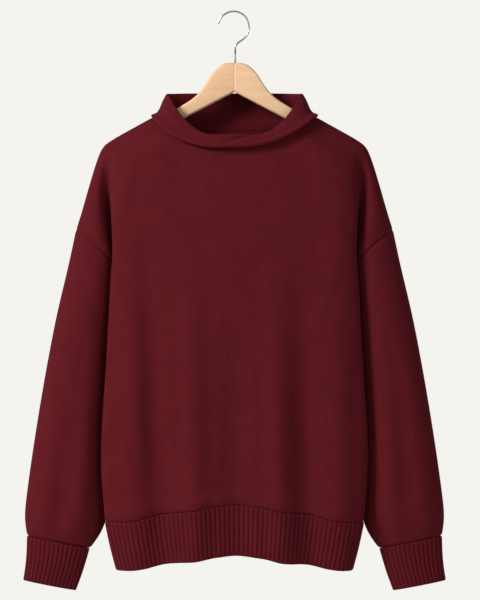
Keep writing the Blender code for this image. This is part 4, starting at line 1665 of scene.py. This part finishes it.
def polygon_object(
    name: str, points: Array, faces: list[list[int]], material: bpy.types.Material
) -> bpy.types.Object:
    """A closed smooth object whose faces are turned outwards."""
    mesh = bpy.data.meshes.new(name)
    mesh.from_pydata(points.tolist(), [], faces)
    signed = 0.0
    for face in mesh.polygons:
        corners = [mesh.vertices[k].co for k in face.vertices]
        for second, third in zip(corners[1:-1], corners[2:]):
            signed += corners[0].dot(second.cross(third))
    if signed < 0:
        mesh.flip_normals()
    mesh.materials.append(material)
    mesh.shade_smooth()
    made = bpy.data.objects.new(name, mesh)
    bpy.context.scene.collection.objects.link(made)
    return made


@dataclass
class Hook:
    """The wire hook: an arc over the top, then a bend back to the stem."""

    name: str = "hook_wire"
    wire: float = 2.6
    radius: float = 23.3
    centre_x: float = -1.3
    tip_angle: float = 166.0
    leave_angle: float = -52.0
    stem_x: float = 1.2
    stem_top_z: float = -54.0
    stem_foot_z: float = -79.0
    arc_steps: int = 90
    bend_steps: int = 30
    sides: int = 20
    leave_reach: float = 0.5
    arrive_reach: float = 0.4
    tip_rings: int = 5
    tip_share: float = 0.05

    def path(self) -> Array:
        """Centre line from the tip to the foot in the wood, as X and Z."""
        centre_z = -(self.radius - self.wire / 2)
        angles = np.radians(np.linspace(self.tip_angle, self.leave_angle, self.arc_steps))
        arc = np.stack(
            [
                self.centre_x + self.radius * np.cos(angles),
                centre_z + self.radius * np.sin(angles),
            ],
            axis=1,
        )
        leave = arc[-1]
        heading = np.array([np.sin(angles[-1]), -np.cos(angles[-1])])
        stem = np.array([self.stem_x, self.stem_top_z])
        span = np.linalg.norm(stem - leave)
        first = leave + self.leave_reach * span * heading
        second = stem + np.array([0.0, self.arrive_reach * span])
        share = np.linspace(0.0, 1.0, self.bend_steps)[1:, None]
        bend = (
            (1 - share) ** 3 * leave
            + 3 * (1 - share) ** 2 * share * first
            + 3 * (1 - share) * share**2 * second
            + share**3 * stem
        )
        foot = np.array([[self.stem_x, self.stem_foot_z]])
        return np.concatenate([arc, bend, foot])

    def build(self, material: bpy.types.Material) -> bpy.types.Object:
        """Make the hook.

        Args:
            material: The finish.

        Returns:
            The hook's object.
        """
        line = self.path()
        tangent = unit(np.gradient(line, axis=0))
        radius = self.wire / 2
        ahead = np.sin(np.linspace(np.pi / 2, 0.0, self.tip_rings, endpoint=False)) * radius
        caps = line[0] - tangent[0] * ahead[:, None]
        smallest = self.tip_share * radius
        cap_radii = np.sqrt(np.maximum(radius**2 - ahead**2, smallest**2))
        line = np.concatenate([caps, line])
        tangent = np.concatenate([np.repeat(tangent[:1], self.tip_rings, axis=0), tangent])
        radii = np.concatenate([cap_radii, np.full(len(line) - self.tip_rings, radius)])
        turn = np.arange(self.sides) * 2 * np.pi / self.sides
        across = np.stack([-tangent[:, 1], np.zeros(len(line)), tangent[:, 0]], axis=1)
        centre = np.stack([line[:, 0], np.zeros(len(line)), line[:, 1]], axis=1)
        round_it = (
            across[:, None, :] * np.cos(turn)[None, :, None]
            + FORWARD[None, None, :] * np.sin(turn)[None, :, None]
        )
        points = centre[:, None, :] + radii[:, None, None] * round_it
        faces = capped_faces(points)
        return polygon_object(self.name, points.reshape(-1, 3) * MM, faces, material)


@dataclass
class Studio:
    """Plain pale surroundings, soft light and the camera."""

    scale: float = 1.5 * MM
    picture: tuple[int, int] = (480, 600)
    hook_pixel: tuple[float, float] = (234.5, 12.3)
    distance: float = 6.0
    sensor: float = 36.0
    far_limit: float = 100.0
    floor_z: float = -1.45
    floor_radius: float = 3.2
    floor_steps: int = 96
    backdrop: tuple[float, float, float] = (0.905, 0.896, 0.855)
    ambient: float = 0.22
    key_place: tuple[float, float, float] = (-3.0, -2.0, 1.5)
    key_power: float = 190.0
    key_size: float = 1.2
    fill_place: tuple[float, float, float] = (2.4, -3.0, 0.8)
    fill_power: float = 30.0
    fill_size: float = 1.6
    aim: tuple[float, float, float] = (0.0, 0.0, -0.45)

    def add_camera(self) -> None:
        """A long lens square on to the garment, framed as the photograph is."""
        width, height = (side * self.scale for side in self.picture)
        x = width / 2 - self.hook_pixel[0] * self.scale
        z = self.hook_pixel[1] * self.scale - height / 2
        data = bpy.data.cameras.new("camera")
        data.sensor_width = self.sensor
        data.lens = self.sensor * self.distance / height
        data.clip_end = self.far_limit
        camera = bpy.data.objects.new("camera", data)
        camera.location = (x, -self.distance, z)
        camera.rotation_euler = (math.radians(90), 0.0, 0.0)
        bpy.context.scene.collection.objects.link(camera)
        bpy.context.scene.camera = camera

    def add_area_light(
        self, name: str, place: tuple[float, float, float], power: float, size: float
    ) -> None:
        """A soft square light aimed at the garment."""
        data = bpy.data.lights.new(name, "AREA")
        data.energy = power
        data.size = size
        light = bpy.data.objects.new(name, data)
        light.location = place
        aim = Vector(self.aim) - Vector(place)
        light.rotation_euler = aim.to_track_quat("-Z", "Y").to_euler()
        bpy.context.scene.collection.objects.link(light)

    def add_surroundings(self) -> None:
        """An even pale backdrop that lights the garment softly from all round."""
        world = bpy.data.worlds.new("studio")
        bpy.context.scene.world = world
        world.use_nodes = True
        nodes, links = world.node_tree.nodes, world.node_tree.links
        seen = nodes["Background"]
        seen.inputs["Color"].default_value = (*self.backdrop, 1.0)
        glow = nodes.new("ShaderNodeBackground")
        glow.inputs["Color"].default_value = (*self.backdrop, 1.0)
        glow.inputs["Strength"].default_value = self.ambient
        rays = nodes.new("ShaderNodeLightPath")
        either = nodes.new("ShaderNodeMixShader")
        links.new(rays.outputs["Is Camera Ray"], either.inputs[0])
        links.new(glow.outputs[0], either.inputs[1])
        links.new(seen.outputs[0], either.inputs[2])
        links.new(either.outputs[0], nodes["World Output"].inputs["Surface"])

    def add_floor(self) -> None:
        """A plain pale floor well below the garment."""
        turn = np.linspace(0.0, 2 * np.pi, self.floor_steps, endpoint=False)
        edge = np.stack([np.cos(turn), np.sin(turn), np.zeros_like(turn)], axis=1)
        points = edge * self.floor_radius + np.array([0.0, 0.0, self.floor_z])
        paper = Paper("pale_floor", self.backdrop)
        floor = mesh_object("floor", points, [list(range(len(points)))], paper.material())

    def build(self) -> None:
        """Make the surroundings, the lights and the camera."""
        bpy.context.scene.view_settings.view_transform = "Standard"
        self.add_surroundings()
        self.add_floor()
        self.add_area_light("key", self.key_place, self.key_power, self.key_size)
        self.add_area_light("fill", self.fill_place, self.fill_power, self.fill_size)
        self.add_camera()


FRONT_PANEL = BodyPanel(
    "front_panel",
    Facing.FRONT,
    NeckEdge(38.0, -190.0),
    folds=(
        LongFold(-150.0, -152.0, -300.0, -620.0, 34.0, 4.0),
        LongFold(-138.0, -104.0, -270.0, -640.0, 30.0, -6.0),
        LongFold(-70.0, -56.0, -300.0, -640.0, 30.0, 6.5),
        LongFold(-2.0, 4.0, -400.0, -660.0, 36.0, -5.0),
        LongFold(58.0, 70.0, -320.0, -640.0, 30.0, 7.0),
        LongFold(98.0, 112.0, -330.0, -640.0, 28.0, -6.0),
        LongFold(150.0, 160.0, -290.0, -620.0, 32.0, 4.0),
    ),
    creases=(
        Crease(-132.0, -200.0, -158.0, -330.0, 20.0, -1.6),
        Crease(-96.0, -205.0, -60.0, -300.0, 26.0, -1.0),
        Crease(120.0, -200.0, 96.0, -320.0, 24.0, -1.2),
        Crease(152.0, -250.0, 160.0, -390.0, 18.0, 1.2),
        Crease(-168.0, -380.0, -120.0, -470.0, 16.0, -1.2),
        Crease(168.0, -390.0, 128.0, -480.0, 16.0, -1.2),
    ),
)
BACK_PANEL = BodyPanel(
    "back_panel",
    Facing.BACK,
    NeckEdge(28.0, -172.5),
    folds=(
        LongFold(-120.0, -128.0, -300.0, -640.0, 32.0, 4.5),
        LongFold(-80.0, -84.0, -280.0, -640.0, 28.0, -5.0),
        LongFold(-24.0, -34.0, -340.0, -640.0, 34.0, 5.5),
        LongFold(30.0, 20.0, -380.0, -660.0, 30.0, -5.0),
        LongFold(84.0, 78.0, -330.0, -640.0, 34.0, 6.0),
        LongFold(128.0, 126.0, -300.0, -620.0, 26.0, -4.0),
    ),
    creases=(
        Crease(-120.0, -190.0, -150.0, -340.0, 22.0, -1.4),
        Crease(110.0, -190.0, 140.0, -330.0, 22.0, -1.4),
        Crease(-60.0, -190.0, 10.0, -250.0, 24.0, -0.9),
        Crease(165.0, -385.0, 118.0, -470.0, 16.0, -1.2),
        Crease(-165.0, -385.0, -122.0, -480.0, 16.0, -1.2),
    ),
)
SLEEVES = (
    Sleeve(
        "sleeve_left_knit",
        Side.LEFT,
        folds=(
            SleeveFold(0.30, 0.62, 0.20, 0.42, 4.0, 0.0),
            SleeveFold(0.56, 0.82, 0.18, 0.30, -4.0, 0.0),
            SleeveFold(0.78, 0.70, 0.18, 0.40, 2.0, 0.0),
        ),
    ),
    Sleeve(
        "sleeve_right_knit",
        Side.RIGHT,
        folds=(
            SleeveFold(0.34, 0.70, 0.20, 0.36, 3.0, 0.0),
            SleeveFold(0.60, 0.60, 0.20, 0.34, -3.0, 0.0),
            SleeveFold(0.78, 0.84, 0.18, 0.26, 2.5, 0.0),
        ),
    ),
)
HEM_RIBS = RibBand(64)
CUFF_RIBS = RibBand(30)
COLLAR_PIECE = Collar(
    "collar_knit",
    creases=(
        (
            CollarCrease(-27.0, 6.7, 1.0, 0.7),
            CollarCrease(-12.0, 5.4, 2.6, 0.9),
            CollarCrease(-2.0, 4.3, 3.6, 1.0),
            CollarCrease(8.0, 5.3, 2.6, 0.9),
            CollarCrease(18.0, 6.6, 1.0, 0.7),
        ),
    ),
)
HANGER_NODES = ["hanger_left", "hanger_right"]


def hang_cloth() -> None:
    """Make the knitted pieces."""
    knit = Knit("wine_knit", WINE_LIGHT, WINE_DARK).material()
    # The rib finish paints shade into the rib grooves.
    rib = Knit(
        "wine_rib", WINE_LIGHT, WINE_DARK, wale=1.5 * MM, course=1.4 * MM, painted_groove_shade=0.6
    ).material()
    front = settle(FRONT_PANEL.build(knit), ["front"])
    back = settle(BACK_PANEL.build(knit), ["back"])
    for side, sleeve in zip(("left", "right"), SLEEVES):
        piece = settle(sleeve.build(knit), [f"sleeve_{side}"])
        cuff = Cuff(f"cuff_{side}_rib", sleeve.side, CUFF_RIBS)
        piece = settle(cuff.build(rib), [f"cuff_{side}"])
    for name, panel in (("hem_front", FRONT_PANEL), ("hem_back", BACK_PANEL)):
        band = HemBand(f"{name}_rib", panel, HEM_RIBS)
        piece = settle(band.build(rib), [name])
    collar = settle(COLLAR_PIECE.build(knit), ["collar"])


def build_hanger() -> None:
    """Make the two wooden halves and the hook."""
    slope = math.atan(HangerHalf.slope)
    warm = Wood("warm_beech", (0.80, 0.52, 0.30), (0.70, 0.41, 0.22), slope)
    pale = Wood("pale_beech", (0.84, 0.57, 0.35), (0.76, 0.47, 0.27), -slope)
    halves = zip(Side, HANGER_NODES, (warm, pale), ("warm_wood", "pale_wood"))
    for side, name, wood, slot in halves:
        settle(HangerHalf(f"{name}_wood", side).build(wood.material()), [name])
    wire = Wire("bright_wire", (0.66, 0.65, 0.63), (0.48, 0.47, 0.45))
    settle(Hook().build(wire.material()), ["hanger_hook"])


def main() -> None:
    """Load the frame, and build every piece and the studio."""
    logging.basicConfig(level=logging.INFO, format="%(name)s: %(message)s")
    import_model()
    hang_cloth()
    build_hanger()
    Studio().build()


if __name__ == "__main__":
    main()
